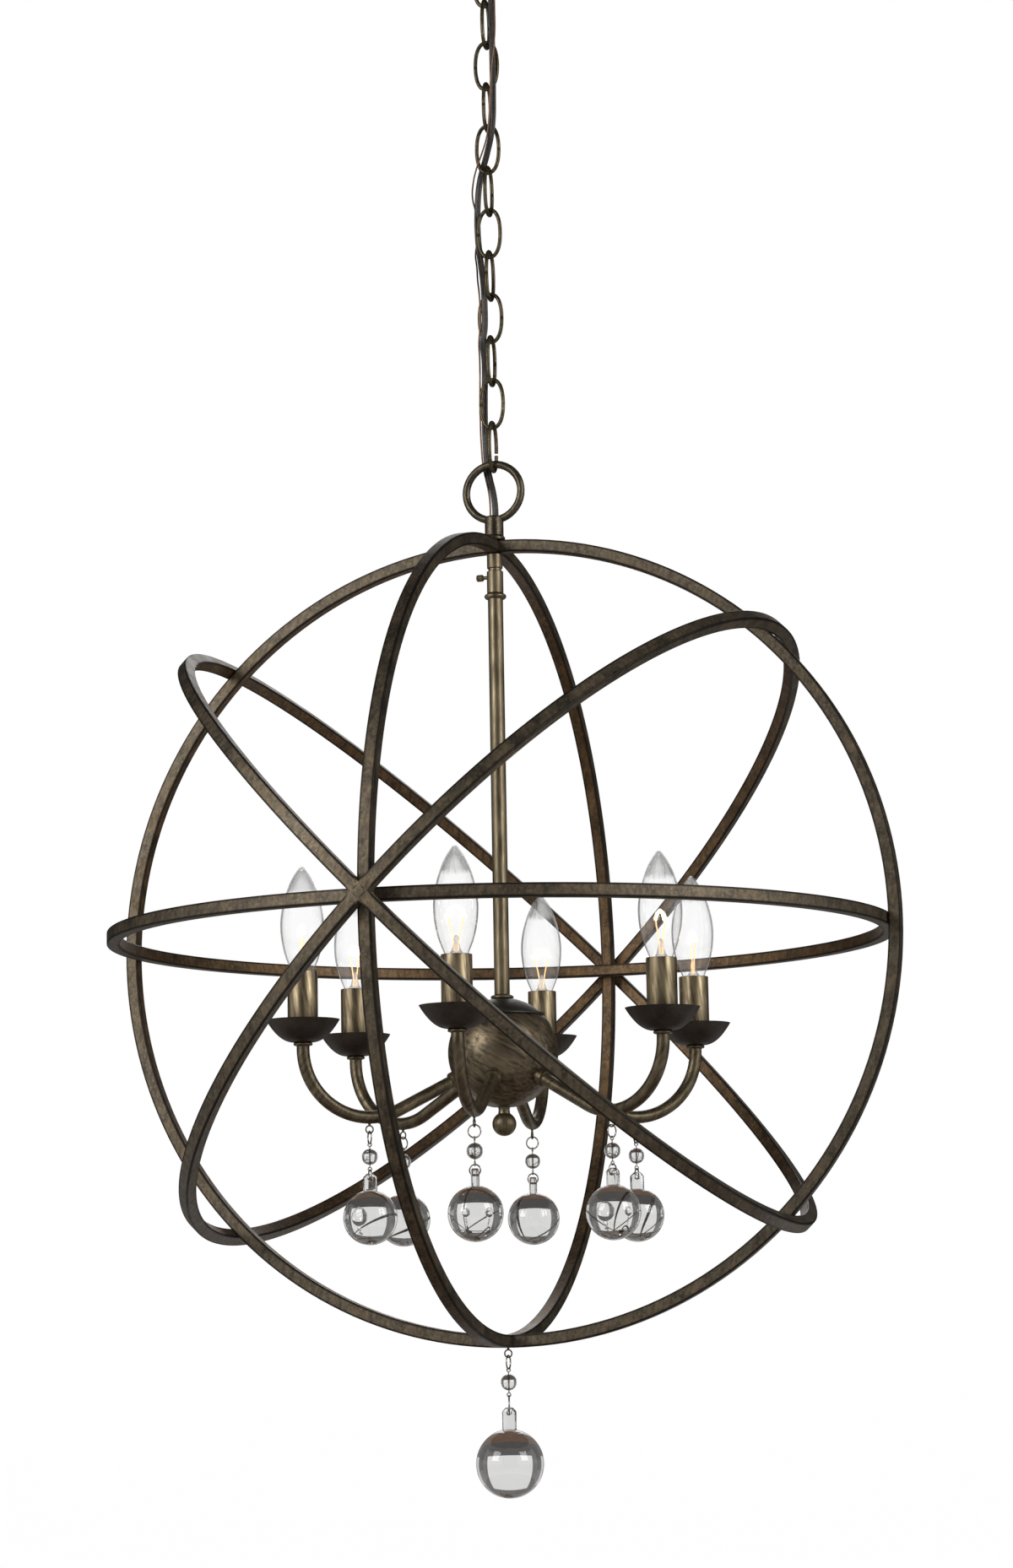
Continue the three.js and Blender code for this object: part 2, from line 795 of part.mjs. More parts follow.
// Crystal drop: wire ring, bead on a looped pin, wire ring, ball with a drilled tab
function dropSolid(sizes, eyeCentre) {
  const ringTop = eyeCentre - eyeRadius + eyeWire / 2 + hangGap;
  const upperCentre = ringTop - sizes.ring + dropWire / 2;
  const upperBottom = upperCentre - sizes.ring;
  const pinTop = upperBottom + loopOverlap;
  const beadCentre = pinTop - pinLength - beadBall;
  const pinFoot = beadCentre - beadBall - pinLength;
  const lowerCentre = pinFoot - sizes.lower + loopOverlap;
  const holeCentre = lowerCentre - sizes.lower + tabHole - loopOverlap;
  const tabTop = holeCentre + tabHole + dropWire * 2;
  const ballCentre = tabTop - sizes.tab - sizes.ball;
  const at = (z) => new THREE.Vector3(0, 0, z);
  let drop = wireRing(sizes.ring, dropWire, at(upperCentre), true);
  const pin = turned(
    [
      [0, pinFoot],
      [pinRadius, pinFoot],
      [pinRadius, pinTop],
      [0, pinTop],
    ],
    chainSides,
  );
  drop = drop.add(pin);
  const bead = new THREE.SphereGeometry(beadBall, wireFacets, thinSides);
  drop = drop.add(solid(bead.rotateX(Math.PI / 2).translate(0, 0, beadCentre)));
  drop = drop.add(wireRing(sizes.lower, dropWire, at(lowerCentre), true));
  const half = tabWidth / 2;
  const tabFoot = ballCentre + Math.sqrt(sizes.ball ** 2 - half ** 2) - overrun / 2;
  const outline = new THREE.Shape();
  outline.moveTo(-half, tabFoot);
  outline.lineTo(half, tabFoot);
  outline.lineTo(half, tabTop - half / 2);
  outline.lineTo(half / 2, tabTop);
  outline.lineTo(-half / 2, tabTop);
  outline.lineTo(-half, tabTop - half / 2);
  const hole = new THREE.Path();
  hole.absarc(0, holeCentre, tabHole, 0, Math.PI * 2, true);
  outline.holes.push(hole);
  const plate = { depth: tabThickness, bevelEnabled: false, curveSegments: thinSides };
  const tab = new THREE.ExtrudeGeometry(outline, plate);
  tab.translate(0, 0, -tabThickness / 2).rotateX(Math.PI / 2);
  drop = drop.add(solid(tab));
  const ball = new THREE.SphereGeometry(sizes.ball, smallFacets, chainSides).rotateX(Math.PI / 2);
  return drop.add(solid(ball.translate(0, 0, ballCentre)));
}

// Cluster of six arms, each with its bobeche, candle sleeve, bulb and drop
{
  const arm = armSolid();
  const bobeche = bobecheSolid();
  const candle = candleSolid();
  const bulb = bulbSolid();
  const dropEye = armCentreLine - armRadius - eyeShank - eyeRadius;
  const drop = dropSolid(armDropSizes, dropEye);
  for (let i = 0; i < armCount; i += 1) {
    const spoke = new THREE.Group();
    spoke.rotation.z = firstArm + (i / armCount) * Math.PI * 2;
    fixture.add(spoke);
    const number = i + 1;
    piece(`arm_${number}`, arm, paleBronze, spoke);
    piece(`bobeche_${number}`, bobeche, bronze, spoke).position.x = armReach;
    piece(`candle_sleeve_${number}`, candle, paleBronze, spoke).position.x = armReach;
    piece(`bulb_${number}`, bulb, glass, spoke).position.x = armReach;
    piece(`arm_drop_${number}`, drop, glass, spoke).position.x = armReach - armBend;
  }
}

// Bottom drop under the orb
piece('bottom_drop', dropSolid(lowDropSizes, orbCentre - faceRingRadius - eyeShank - eyeRadius), glass);

// Supply cord route, from the wireway of the canopy loop to that of the top loop
const cordRoute = [
  [-1.2, 0, -7],
  [-1.2, 0, -36],
  [0.4, -1.2, -43],
  [3.2, -3.6, -49],
  [5.4, -4.7, -55],
  [6.2, -4.8, -64],
  [6.3, -4.7, -90],
  [6.5, -4.7, -130],
  [6.6, -5, -170],
  [5.9, -5.1, -190],
  [3.2, -3, -203],
  [-0.2, 0.4, -211],
  [-3.2, 3, -218],
  [-6.2, 4.8, -225],
  [-8.8, 4.9, -236],
  [-10.6, 4.8, -255],
  [-10.8, 4.6, -275],
  [-9.4, 3.9, -292],
  [-7.2, 1.4, -305],
  [-5.2, -1.6, -315],
  [-3.8, -4.1, -325],
  [-3.3, -4.5, -338],
  [-3.5, -4.5, -355],
  [-5.3, -4, -368],
  [-5.6, 0.4, -380],
  [-6.6, 4, -391],
  [-7.2, 4.4, -405],
  [-7.5, 4.6, -430],
  [-7.2, 5, -448],
  [-6.5, 6, -463],
  [-4.1, 4.4, -474],
  [-0.9, 1.4, -485],
  [0.9, 0.2, -496],
  [1.2, 0, -504],
  [1.2, 0, -516],
];
{
  const curve = new THREE.CatmullRomCurve3(cordRoute.map(([x, y, z]) => new THREE.Vector3(x, y, z)));
  const cord = new THREE.ExtrudeGeometry(ovalSection(cordWidth, cordThickness, wireSides), {
    steps: cordSteps,
    bevelEnabled: false,
    extrudePath: curve,
  });
  piece('supply_cord', solid(cord), cordSkin);
}

// Ground wire route, beside the cord on the other side of the chain
const groundRoute = [
  [2.9, 0, -8],
  [2.9, 0, -36],
  [3.7, -2, -43],
  [7.2, -4.4, -49],
  [9, -5.8, -56],
  [9.6, -6.4, -66],
  [9.6, -6.7, -95],
  [9.7, -7.6, -118],
  [8.6, -8.6, -133],
  [6.6, -8.8, -149],
  [5.6, -8.8, -165],
  [4.2, -8.4, -186],
  [1.2, -6, -202],
  [-3.4, -4.4, -214],
  [-8.4, -3.6, -226],
  [-12.2, -0.4, -236],
  [-14.6, 4.6, -246],
  [-13.4, 7.8, -256],
  [-11.6, 9, -268],
  [-12.2, 8, -280],
  [-13.4, 6.4, -292],
  [-11.4, 3, -304],
  [-9.8, -0.8, -315],
  [-7.8, -4, -326],
  [-7, -4.7, -338],
  [-7.2, -4.8, -354],
  [-8.6, -3.8, -367],
  [-9.4, 0, -379],
  [-10.4, 3.2, -391],
  [-10.7, 3.4, -405],
  [-10.9, 3.8, -430],
  [-10.6, 4.6, -448],
  [-9.7, 5.4, -463],
  [-7.2, 4, -474],
  [-4.4, 1.8, -485],
  [-3, 0.4, -496],
  [-2.9, 0, -504],
  [-2.9, 0, -515],
];
{
  const curve = new THREE.CatmullRomCurve3(groundRoute.map(([x, y, z]) => new THREE.Vector3(x, y, z)));
  const wire = new THREE.ExtrudeGeometry(ovalSection(groundRadius * 2, groundRadius * 2, wireSides), {
    steps: cordSteps,
    bevelEnabled: false,
    extrudePath: curve,
  });
  piece('ground_wire', solid(wire), copper);
}

export default fixture;
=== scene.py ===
# %% [markdown]
# # An orb chandelier
#
# Five square-bar rings are nested into a ball round six candle lights, and the ball hangs from a
# chain. The drawing of the lamp is already in the scene as plain solids, in metres, with the ceiling at
# height zero. Each part is modelled again here with a smooth surface and a real finish, and it takes its
# place from the solid that it stands for, so that nothing drifts from the drawing.

import json
import math

import bmesh
import bpy
from mathutils import Matrix, Vector

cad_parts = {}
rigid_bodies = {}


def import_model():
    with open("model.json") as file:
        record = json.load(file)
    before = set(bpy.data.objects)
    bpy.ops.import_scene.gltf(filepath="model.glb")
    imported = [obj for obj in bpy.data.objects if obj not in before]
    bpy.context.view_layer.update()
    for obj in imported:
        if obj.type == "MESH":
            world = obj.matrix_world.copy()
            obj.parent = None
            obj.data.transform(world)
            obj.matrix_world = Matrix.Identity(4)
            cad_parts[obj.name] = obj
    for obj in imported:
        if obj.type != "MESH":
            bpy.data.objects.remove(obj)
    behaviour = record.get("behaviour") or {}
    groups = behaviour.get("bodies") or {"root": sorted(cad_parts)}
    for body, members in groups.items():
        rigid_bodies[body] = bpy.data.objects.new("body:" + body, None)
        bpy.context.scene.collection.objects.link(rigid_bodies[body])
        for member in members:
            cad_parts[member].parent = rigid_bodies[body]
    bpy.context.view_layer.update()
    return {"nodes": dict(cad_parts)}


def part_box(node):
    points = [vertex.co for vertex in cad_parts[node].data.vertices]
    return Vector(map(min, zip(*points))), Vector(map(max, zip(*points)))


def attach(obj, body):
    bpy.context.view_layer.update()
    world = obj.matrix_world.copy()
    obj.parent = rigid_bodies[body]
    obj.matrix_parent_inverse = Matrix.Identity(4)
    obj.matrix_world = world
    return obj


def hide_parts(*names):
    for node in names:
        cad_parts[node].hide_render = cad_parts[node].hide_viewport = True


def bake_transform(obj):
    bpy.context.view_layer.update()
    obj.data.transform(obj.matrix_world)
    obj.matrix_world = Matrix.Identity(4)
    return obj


bpy.ops.object.select_all(action="SELECT")
bpy.ops.object.delete()
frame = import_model()

MM = 0.001


def low(node):
    return Vector(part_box(node)[0])


def high(node):
    return Vector(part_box(node)[1])


def middle(node):
    return (low(node) + high(node)) / 2


# %% [markdown]
# The camera stands a little to the right of the lamp and slightly under the middle of the ball, so that
# the equator ring is seen from just below as a thin line. The turn, the distance and the lens were found by
# laying the drawing's rings over the picture. The last roll of one degree is the lamp's own lean on its
# chain, which is easier to give to the camera than to every joint.

# %% Camera
ORB = middle("equator_ring")
CAMERA_DISTANCE = 2.4534
CAMERA_AZIMUTH = math.radians(17.367)
CAMERA_ELEVATION = math.radians(-6.143)
CAMERA_TURN = math.radians(0.14)
CAMERA_TILT = math.radians(2.69)
CAMERA_ROLL = math.radians(-1.0)
PICTURE_HEIGHT = 1858
FOCAL_PIXELS = 3855.5
SENSOR = 36.0


def camera_axes():
    """The camera's place and the three directions of its picture."""
    flat = math.cos(CAMERA_ELEVATION)
    rise = math.sin(CAMERA_ELEVATION)
    toward = Vector((math.sin(CAMERA_AZIMUTH) * flat, -math.cos(CAMERA_AZIMUTH) * flat, rise))
    ahead = -toward
    right = ahead.cross(Vector((0, 0, 1))).normalized()
    up = right.cross(ahead)
    ahead = ahead * math.cos(CAMERA_TURN) * math.cos(CAMERA_TILT)
    ahead = ahead + right * math.sin(CAMERA_TURN) * math.cos(CAMERA_TILT) + up * math.sin(CAMERA_TILT)
    ahead.normalize()
    right = ahead.cross(Vector((0, 0, 1))).normalized()
    up = right.cross(ahead)
    rolled_right = right * math.cos(CAMERA_ROLL) + up * math.sin(CAMERA_ROLL)
    rolled_up = up * math.cos(CAMERA_ROLL) - right * math.sin(CAMERA_ROLL)
    return ORB + toward * CAMERA_DISTANCE, rolled_right, rolled_up, -ahead


place, right, up, back = camera_axes()
bpy.ops.object.camera_add(location=place)
camera = bpy.context.object
camera.name = "camera"
camera.matrix_world = Matrix.Translation(place) @ Matrix((right, up, back)).transposed().to_4x4()
camera.data.sensor_fit = "VERTICAL"
camera.data.sensor_height = SENSOR
camera.data.lens = FOCAL_PIXELS * SENSOR / PICTURE_HEIGHT
camera.data.clip_end = 50
bpy.context.scene.camera = camera
print("Camera at", [round(v, 3) for v in place], "lens", round(camera.data.lens, 2))

# %% [markdown]
# Every piece is drawn by hand moves: pick, extrude, spin, join. An operator acts on all that is picked, so
# these small helpers put everything down first, and then pick one thing.

# %% Picking and naming
scene = bpy.context.scene
scene.tool_settings.mesh_select_mode = (True, False, False)


def put_down():
    """Leaves edit mode and picks nothing."""
    if bpy.context.object and bpy.context.object.mode != "OBJECT":
        bpy.ops.object.mode_set(mode="OBJECT")
    bpy.ops.object.select_all(action="DESELECT")


def hold(thing):
    """Picks one object."""
    put_down()
    thing.select_set(True)
    bpy.context.view_layer.objects.active = thing


def settle(thing, name, corner_angle=35):
    """Names a piece, rounds its shading and puts its place into its mesh."""
    hold(thing)
    bpy.ops.object.transform_apply(location=True, rotation=True, scale=True)
    bpy.ops.object.shade_smooth_by_angle(angle=math.radians(corner_angle))
    thing.name = name
    thing.data.name = name
    return thing


def copied(thing, name, turn=0.0, shift=(0, 0, 0)):
    """A copy with its own mesh, turned about the upright axis and then moved."""
    hold(thing)
    bpy.ops.object.duplicate(linked=False)
    copy = bpy.context.object
    copy.matrix_world = Matrix.Translation(shift) @ Matrix.Rotation(turn, 4, "Z")
    return settle(copy, name)


def welded(name, *things):
    """Joins several meshes into one piece."""
    put_down()
    for thing in things:
        thing.select_set(True)
    bpy.context.view_layer.objects.active = things[0]
    bpy.ops.object.join()
    return settle(bpy.context.object, name)


# %% [markdown]
# Most metal parts of a lamp are turned or spun on a lathe. The same is done here: a single point is extruded
# along half of the outline, and the line is spun once round the axis. A cylinder with bevels would
# be quicker, but it could not follow the waist of a stem or the bowl of a drip pan.

# %% Lathe
AROUND = 64


def outline_object(points):
    """A line through [across, up] points in the XZ plane, left picked in edit mode."""
    put_down()
    across, up = points[0]
    bpy.ops.mesh.primitive_plane_add(size=MM, location=(across, 0, up), enter_editmode=True)
    bpy.ops.mesh.merge(type="CENTER")
    for (x0, z0), (x1, z1) in zip(points, points[1:]):
        bpy.ops.mesh.extrude_region_move(TRANSFORM_OT_translate={"value": (x1 - x0, 0, z1 - z0)})
    bpy.ops.mesh.select_all(action="SELECT")
    return bpy.context.object


def turned(name, points, steps=AROUND, closed=False, centre=(0, 0, 0), axis=(0, 0, 1), sweep=math.tau):
    """Spins an outline round an axis. A closed outline makes a bar or a tube."""
    thing = outline_object(points + points[:1] if closed else points)
    bpy.ops.mesh.remove_doubles(threshold=MM / 100)
    bpy.ops.mesh.spin(steps=steps, angle=sweep, center=centre, axis=axis)
    bpy.ops.mesh.select_all(action="SELECT")
    bpy.ops.mesh.remove_doubles(threshold=MM / 100)
    if sweep < math.tau:
        bpy.ops.mesh.fill_holes(sides=0)
    bpy.ops.mesh.select_all(action="SELECT")
    bpy.ops.mesh.normals_make_consistent(inside=False)
    bpy.ops.object.mode_set(mode="OBJECT")
    return settle(thing, name)


def arc(across, up, radius, start, end, steps):
    """Points on a round stretch of an outline. Angles are in degrees from the across direction."""
    points = []
    for i in range(steps + 1):
        turn = math.radians(start + (end - start) * i / steps)
        points.append((across + math.cos(turn) * radius, up + math.sin(turn) * radius))
    return points


def ring_of_wire(name, radius, wire, centre, facing=(90, 0, 0)):
    """A round wire bent to a ring: a torus as a start, turned to face along Y by default."""
    put_down()
    bpy.ops.mesh.primitive_torus_add(
        major_radius=radius,
        minor_radius=wire / 2,
        major_segments=40,
        minor_segments=12,
        location=centre,
        rotation=[math.radians(a) for a in facing],
    )
    return settle(bpy.context.object, name, 60)


# %% [markdown]
# The lamp is fed by a flat two-core cord that is threaded through the chain, with a bare copper
# wire beside it. Both run from the ceiling to the top of the ball and never hang free. A curve with a
# section is the natural way to make them. The chain swings in thirteen joints, and each cord is
# cut into thirteen lengths at the middles of the links.

# %% Cords
CHAIN = [f"chain_link_{i:02d}" for i in range(1, 13)]
CORD_ROUTE = [
    (-1.2, 0, -7),
    (-1.2, 0, -36),
    (0.4, -1.2, -43),
    (3.2, -3.6, -49),
    (5.4, -4.7, -55),
    (6.2, -4.8, -64),
    (6.3, -4.7, -90),
    (6.5, -4.7, -130),
    (6.6, -5, -170),
    (5.9, -5.1, -190),
    (3.2, -3, -203),
    (-0.2, 0.4, -211),
    (-3.2, 3, -218),
    (-6.2, 4.8, -225),
    (-8.8, 4.9, -236),
    (-10.6, 4.8, -255),
    (-10.8, 4.6, -275),
    (-9.4, 3.9, -292),
    (-7.2, 1.4, -305),
    (-5.2, -1.6, -315),
    (-3.8, -4.1, -325),
    (-3.3, -4.5, -338),
    (-3.5, -4.5, -355),
    (-5.3, -4, -368),
    (-5.6, 0.4, -380),
    (-6.6, 4, -391),
    (-7.2, 4.4, -405),
    (-7.5, 4.6, -430),
    (-7.2, 5, -448),
    (-6.5, 6, -463),
    (-4.1, 4.4, -474),
    (-0.9, 1.4, -485),
    (0.9, 0.2, -496),
    (1.2, 0, -504),
    (1.2, 0, -516),
]
GROUND_ROUTE = [
    (2.9, 0, -8),
    (2.9, 0, -36),
    (3.7, -2, -43),
    (7.2, -4.4, -49),
    (9, -5.8, -56),
    (9.6, -6.4, -66),
    (9.6, -6.7, -95),
    (9.7, -7.6, -118),
    (8.6, -8.6, -133),
    (6.6, -8.8, -149),
    (5.6, -8.8, -165),
    (4.2, -8.4, -186),
    (1.2, -6, -202),
    (-3.4, -4.4, -214),
    (-8.4, -3.6, -226),
    (-12.2, -0.4, -236),
    (-14.6, 4.6, -246),
    (-13.4, 7.8, -256),
    (-11.6, 9, -268),
    (-12.2, 8, -280),
    (-13.4, 6.4, -292),
    (-11.4, 3, -304),
    (-9.8, -0.8, -315),
    (-7.8, -4, -326),
    (-7, -4.7, -338),
    (-7.2, -4.8, -354),
    (-8.6, -3.8, -367),
    (-9.4, 0, -379),
    (-10.4, 3.2, -391),
    (-10.7, 3.4, -405),
    (-10.9, 3.8, -430),
    (-10.6, 4.6, -448),
    (-9.7, 5.4, -463),
    (-7.2, 4, -474),
    (-4.4, 1.8, -485),
    (-3, 0.4, -496),
    (-2.9, 0, -504),
    (-2.9, 0, -515),
]


def section(name, points):
    """A flat closed curve that serves as the section of a cord."""
    put_down()
    bpy.ops.curve.primitive_bezier_circle_add(radius=MM)
    curve = bpy.context.object
    curve.name = name
    spline = curve.data.splines[0]
    spline.bezier_points.add(len(points) - len(spline.bezier_points))
    for knot, (x, y) in zip(spline.bezier_points, points):
        knot.handle_left_type = "AUTO"
        knot.handle_right_type = "AUTO"
        knot.co = (x, y, 0)
    return curve


def route_curve(name, route):
    """A smooth curve through the points of a route."""
    put_down()
    bpy.ops.curve.primitive_bezier_curve_add()
    curve = bpy.context.object
    curve.name = name
    spline = curve.data.splines[0]
    spline.bezier_points.add(len(route) - len(spline.bezier_points))
    for knot, point in zip(spline.bezier_points, route):
        knot.handle_left_type = "AUTO"
        knot.handle_right_type = "AUTO"
        knot.co = Vector(point) * MM
        knot.tilt = 0
    curve.matrix_world = Matrix.Identity(4)
    curve.data.resolution_u = 8
    curve.data.twist_mode = "MINIMUM"
    return curve


CORE = 1.25 * MM
CORE_PLACE = 1.22 * MM
WEB = 0.62 * MM
core_section = [
    (CORE_PLACE + CORE, 0),
    (CORE_PLACE, CORE),
    (0, WEB),
    (-CORE_PLACE, CORE),
    (-CORE_PLACE - CORE, 0),
    (-CORE_PLACE, -CORE),
    (0, -WEB),
    (CORE_PLACE, -CORE),
]
cord_line = route_curve("cord_line", CORD_ROUTE)
cord_line.data.bevel_mode = "OBJECT"
cord_line.data.bevel_object = section("cord_section", core_section)
cord_line.data.use_fill_caps = True
ground_line = route_curve("ground_line", GROUND_ROUTE)
ground_line.data.bevel_depth = 0.68 * MM
ground_line.data.bevel_resolution = 3
ground_line.data.use_fill_caps = True


def cut_to_lengths(line, name, node):
    """Turns a cord's curve into a mesh and cuts it at the middle of each link."""
    hold(line)
    bpy.ops.object.convert(target="MESH")
    whole = bpy.context.object
    cuts = [middle(link).z for link in CHAIN]
    ends = [0.1] + cuts + [-2.0]
    lengths = []
    for i, (top, foot) in enumerate(zip(ends, ends[1:])):
        hold(whole)
        bpy.ops.object.duplicate(linked=False)
        length = bpy.context.object
        bpy.ops.object.mode_set(mode="EDIT")
        bpy.ops.mesh.select_all(action="SELECT")
        bpy.ops.mesh.bisect(plane_co=(0, 0, top), plane_no=(0, 0, 1), use_fill=True, clear_outer=True)
        bpy.ops.mesh.select_all(action="SELECT")
        bpy.ops.mesh.bisect(plane_co=(0, 0, foot), plane_no=(0, 0, 1), use_fill=True, clear_inner=True)
        bpy.ops.mesh.select_all(action="SELECT")
        bpy.ops.mesh.normals_make_consistent(inside=False)
        bpy.ops.object.mode_set(mode="OBJECT")
        settle(length, f"{name}_{i + 1:02d}", 60)
        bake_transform(length)
        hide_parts(node)
        lengths.append(length)
    bpy.data.objects.remove(whole)
    return lengths


section_curve = cord_line.data.bevel_object
cord_lengths = cut_to_lengths(cord_line, "cord_length", "supply_cord")
bpy.data.objects.remove(section_curve)
ground_lengths = cut_to_lengths(ground_line, "ground_length", "ground_wire")
print("Cords in", len(cord_lengths), "and", len(ground_lengths), "lengths")

# %% [markdown]
# The rings are bars of square steel, three eighths of an inch thick, with slightly rounded
# corners. The section is drawn once, a rounded square, and spun about the ring's own axis. The side ring
# runs through at the top and the bottom of the ball, so the face ring is spun as two halves that butt
# against it, with a hair of room left at each end, where the weld sits.

# %% Bar section
BAR = high("equator_ring").z - low("equator_ring").z
BAR_CORNER = 0.9 * MM
BAR_BAND = 1.9 * MM
RING_STEPS = 192


def bar_section(outer):
    """A rounded square with extra points beside each corner, where the painted edge shade fades out."""
    half = BAR / 2
    across = outer - half
    points = []
    for start, (sx, sz) in zip((0, 90, 180, 270), ((1, 1), (-1, 1), (-1, -1), (1, -1))):
        corner = (across + sx * (half - BAR_CORNER), sz * (half - BAR_CORNER))
        before = (across + sx * half, sz * (half - BAR_BAND))
        after = (across + sx * (half - BAR_BAND), sz * half)
        if start in (90, 270):
            before, after = after, before
        points += [before] + arc(*corner, BAR_CORNER, start, start + 90, 4) + [after]
    return points


def marked(thing, outer):
    """Notes on every point whether it lies on a rounded corner, for the painted edge shade."""
    note = thing.data.attributes.new("corner", "FLOAT", "POINT")
    flat = BAR / 2 - BAR_CORNER - MM / 100
    for point, vertex in zip(note.data, thing.data.vertices):
        inward = abs(math.hypot(vertex.co.x, vertex.co.y) - outer + BAR / 2)
        point.value = 1.0 if inward > flat and abs(vertex.co.z) > flat else 0.0
    return thing


def bar_ring(name, outer, halves=False):
    """A square bar about the upright axis, whole or as two halves that butt at the X axis ends."""
    if not halves:
        return marked(turned(name, bar_section(outer), RING_STEPS, closed=True), outer)
    gap = (BAR / 2 + 0.1 * MM) / (outer - BAR / 2)
    first = turned("half", bar_section(outer), RING_STEPS // 2, closed=True, sweep=math.pi - 2 * gap)
    first.data.transform(Matrix.Rotation(-gap, 4, "Z"))
    marked(first, outer)
    second = copied(first, "half", turn=math.pi)
    return welded(name, first, second)


def stood(thing, name, *turns):
    """Stands a flat ring up by turns about the world's axes, and moves it to the middle of the orb."""
    hold(thing)
    stance = Matrix.Identity(4)
    for angle, axis in turns:
        stance = Matrix.Rotation(math.radians(angle), 4, axis) @ stance
    thing.matrix_world = Matrix.Translation(ORB) @ stance
    return settle(thing, name)


# %% [markdown]
# Some pieces are one body of two shapes, such as rings welded flush, or a glass ball with its tab. A
# boolean makes one skin of two. The helper applies it at once and throws the tool away.

# %% Boolean helper
def shaped_by(thing, tool, operation):
    """Applies a boolean and throws the tool away."""
    hold(thing)
    cut = thing.modifiers.new("shape", "BOOLEAN")
    cut.operation = operation
    cut.solver = "EXACT"
    cut.object = tool
    bpy.ops.object.modifier_apply(modifier=cut.name)
    bpy.data.objects.remove(tool)
    return thing


# %% [markdown]
# Now the five rings themselves. Each is spun lying flat, stood up by turns, and moved to the middle of the
# ball. The two leaning rings cross at the front and the back, and on the real lamp they are welded flush and
# finished over. They are joined into one skin, so that hardly a line is left across the crossing.

# %% Five rings
FACE_OUTER = high("face_ring").x
EQUATOR_OUTER = high("equator_ring").x
DIAGONAL_OUTER = high("rising_ring").y
LEAN = 45

equator = stood(bar_ring("equator", EQUATOR_OUTER), "equator_bar")
face = stood(bar_ring("face", FACE_OUTER, halves=True), "face_bar", (90, "X"), (90, "Y"))
side = stood(bar_ring("side", FACE_OUTER), "side_bar", (90, "Y"))
rising = stood(bar_ring("rising", DIAGONAL_OUTER), "rising_bar", (-LEAN, "Y"))
falling = stood(bar_ring("falling", DIAGONAL_OUTER), "falling_bar", (LEAN, "Y"))
leaning = settle(shaped_by(falling, rising, "UNION"), "leaning_bars")
placed_rings = (
    (equator, ["equator_ring"]),
    (side, ["side_ring"]),
    (leaning, ["rising_ring", "falling_ring"]),
)
for bar, nodes in placed_rings:
    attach(bar, "orb")
    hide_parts(*nodes)
outer_radii = [round(radius / MM, 1) for radius in (FACE_OUTER, EQUATOR_OUTER, DIAGONAL_OUTER)]
print("Rings of", round(BAR / MM, 2), "mm bar, outer radii", outer_radii)

# %% [markdown]
# A small wire eye is welded under the lowest point of the face ring and under each arm, to carry the
# glass drops. It is a short post with a ring of thin wire.

# %% Wire eye
EYE_RADIUS = 2.75 * MM
EYE_WIRE = 1.1 * MM
EYE_SHANK = 1.4 * MM


def wire_eye(name, x, level):
    """An eye that hangs from a level, with its opening facing along Y."""
    centre = level - EYE_SHANK - EYE_RADIUS
    ring = ring_of_wire(name, EYE_RADIUS, EYE_WIRE, (x, 0, centre))
    foot = centre + EYE_RADIUS - EYE_WIRE / 4
    outline = [
        (0, level + EYE_WIRE),
        (EYE_WIRE, level + EYE_WIRE),
        (EYE_WIRE, level),
        (EYE_WIRE / 2, foot),
        (0, foot),
    ]
    post = turned("post", outline, 16)
    post.data.transform(Matrix.Translation((x, 0, 0)))
    return welded(name, ring, post)


face = welded("face_bar", face, wire_eye("orb_eye", 0, ORB.z - FACE_OUTER))
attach(face, "orb")
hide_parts("face_ring")

# %% [markdown]
# A chain link is a round wire bent to a long oval and closed with a fine weld in the middle of
# one leg. A circle of curve points pulled to the oval, with a round section, gives an even wire all the
# way round, which a stretched torus would not. The last link is left open, so that the ball can be hooked in.

# %% Chain links
LINK_WIRE = high("chain_link_01").y - low("chain_link_01").y
LINK_HALF = (high("chain_link_01") - low("chain_link_01")) / 2
FULLER = 0.64
WELD = 0.3 * MM
MOUTH = 2.1 * MM
MOUTH_DROP = 4 * MM


def oval_wire(name, half_width, half_length, wire):
    """A closed oval of round wire in the XZ plane, round the origin."""
    put_down()
    bpy.ops.curve.primitive_bezier_circle_add(radius=1)
    curve = bpy.context.object
    quarter = ((0, 1), (1, 0), (0, -1), (-1, 0))
    for knot, (x, z) in zip(curve.data.splines[0].bezier_points, ((-1, 0), (0, 1), (1, 0), (0, -1))):
        knot.handle_left_type = "FREE"
        knot.handle_right_type = "FREE"
        ahead = Vector((z * FULLER, 0, -x * FULLER))
        size = Vector((half_width, 0, half_length))
        knot.co = Vector((x, 0, z)) * size
        knot.handle_left = (Vector((x, 0, z)) - ahead) * size
        knot.handle_right = (Vector((x, 0, z)) + ahead) * size
    curve.data.bevel_depth = wire / 2
    curve.data.bevel_resolution = 4
    curve.data.resolution_u = 14
    bpy.ops.object.convert(target="MESH")
    return settle(bpy.context.object, name, 60)


def slice_leg(link, levels):
    """Cuts edge loops across the right leg of a link."""
    hold(link)
    bpy.ops.object.mode_set(mode="EDIT")
    for level in levels:
        mesh = bmesh.from_edit_mesh(link.data)
        for face in mesh.faces:
            face.select_set(face.calc_center_median().x > 0)
        bmesh.update_edit_mesh(link.data)
        bpy.ops.mesh.bisect(plane_co=(0, 0, level), plane_no=(0, 0, 1))


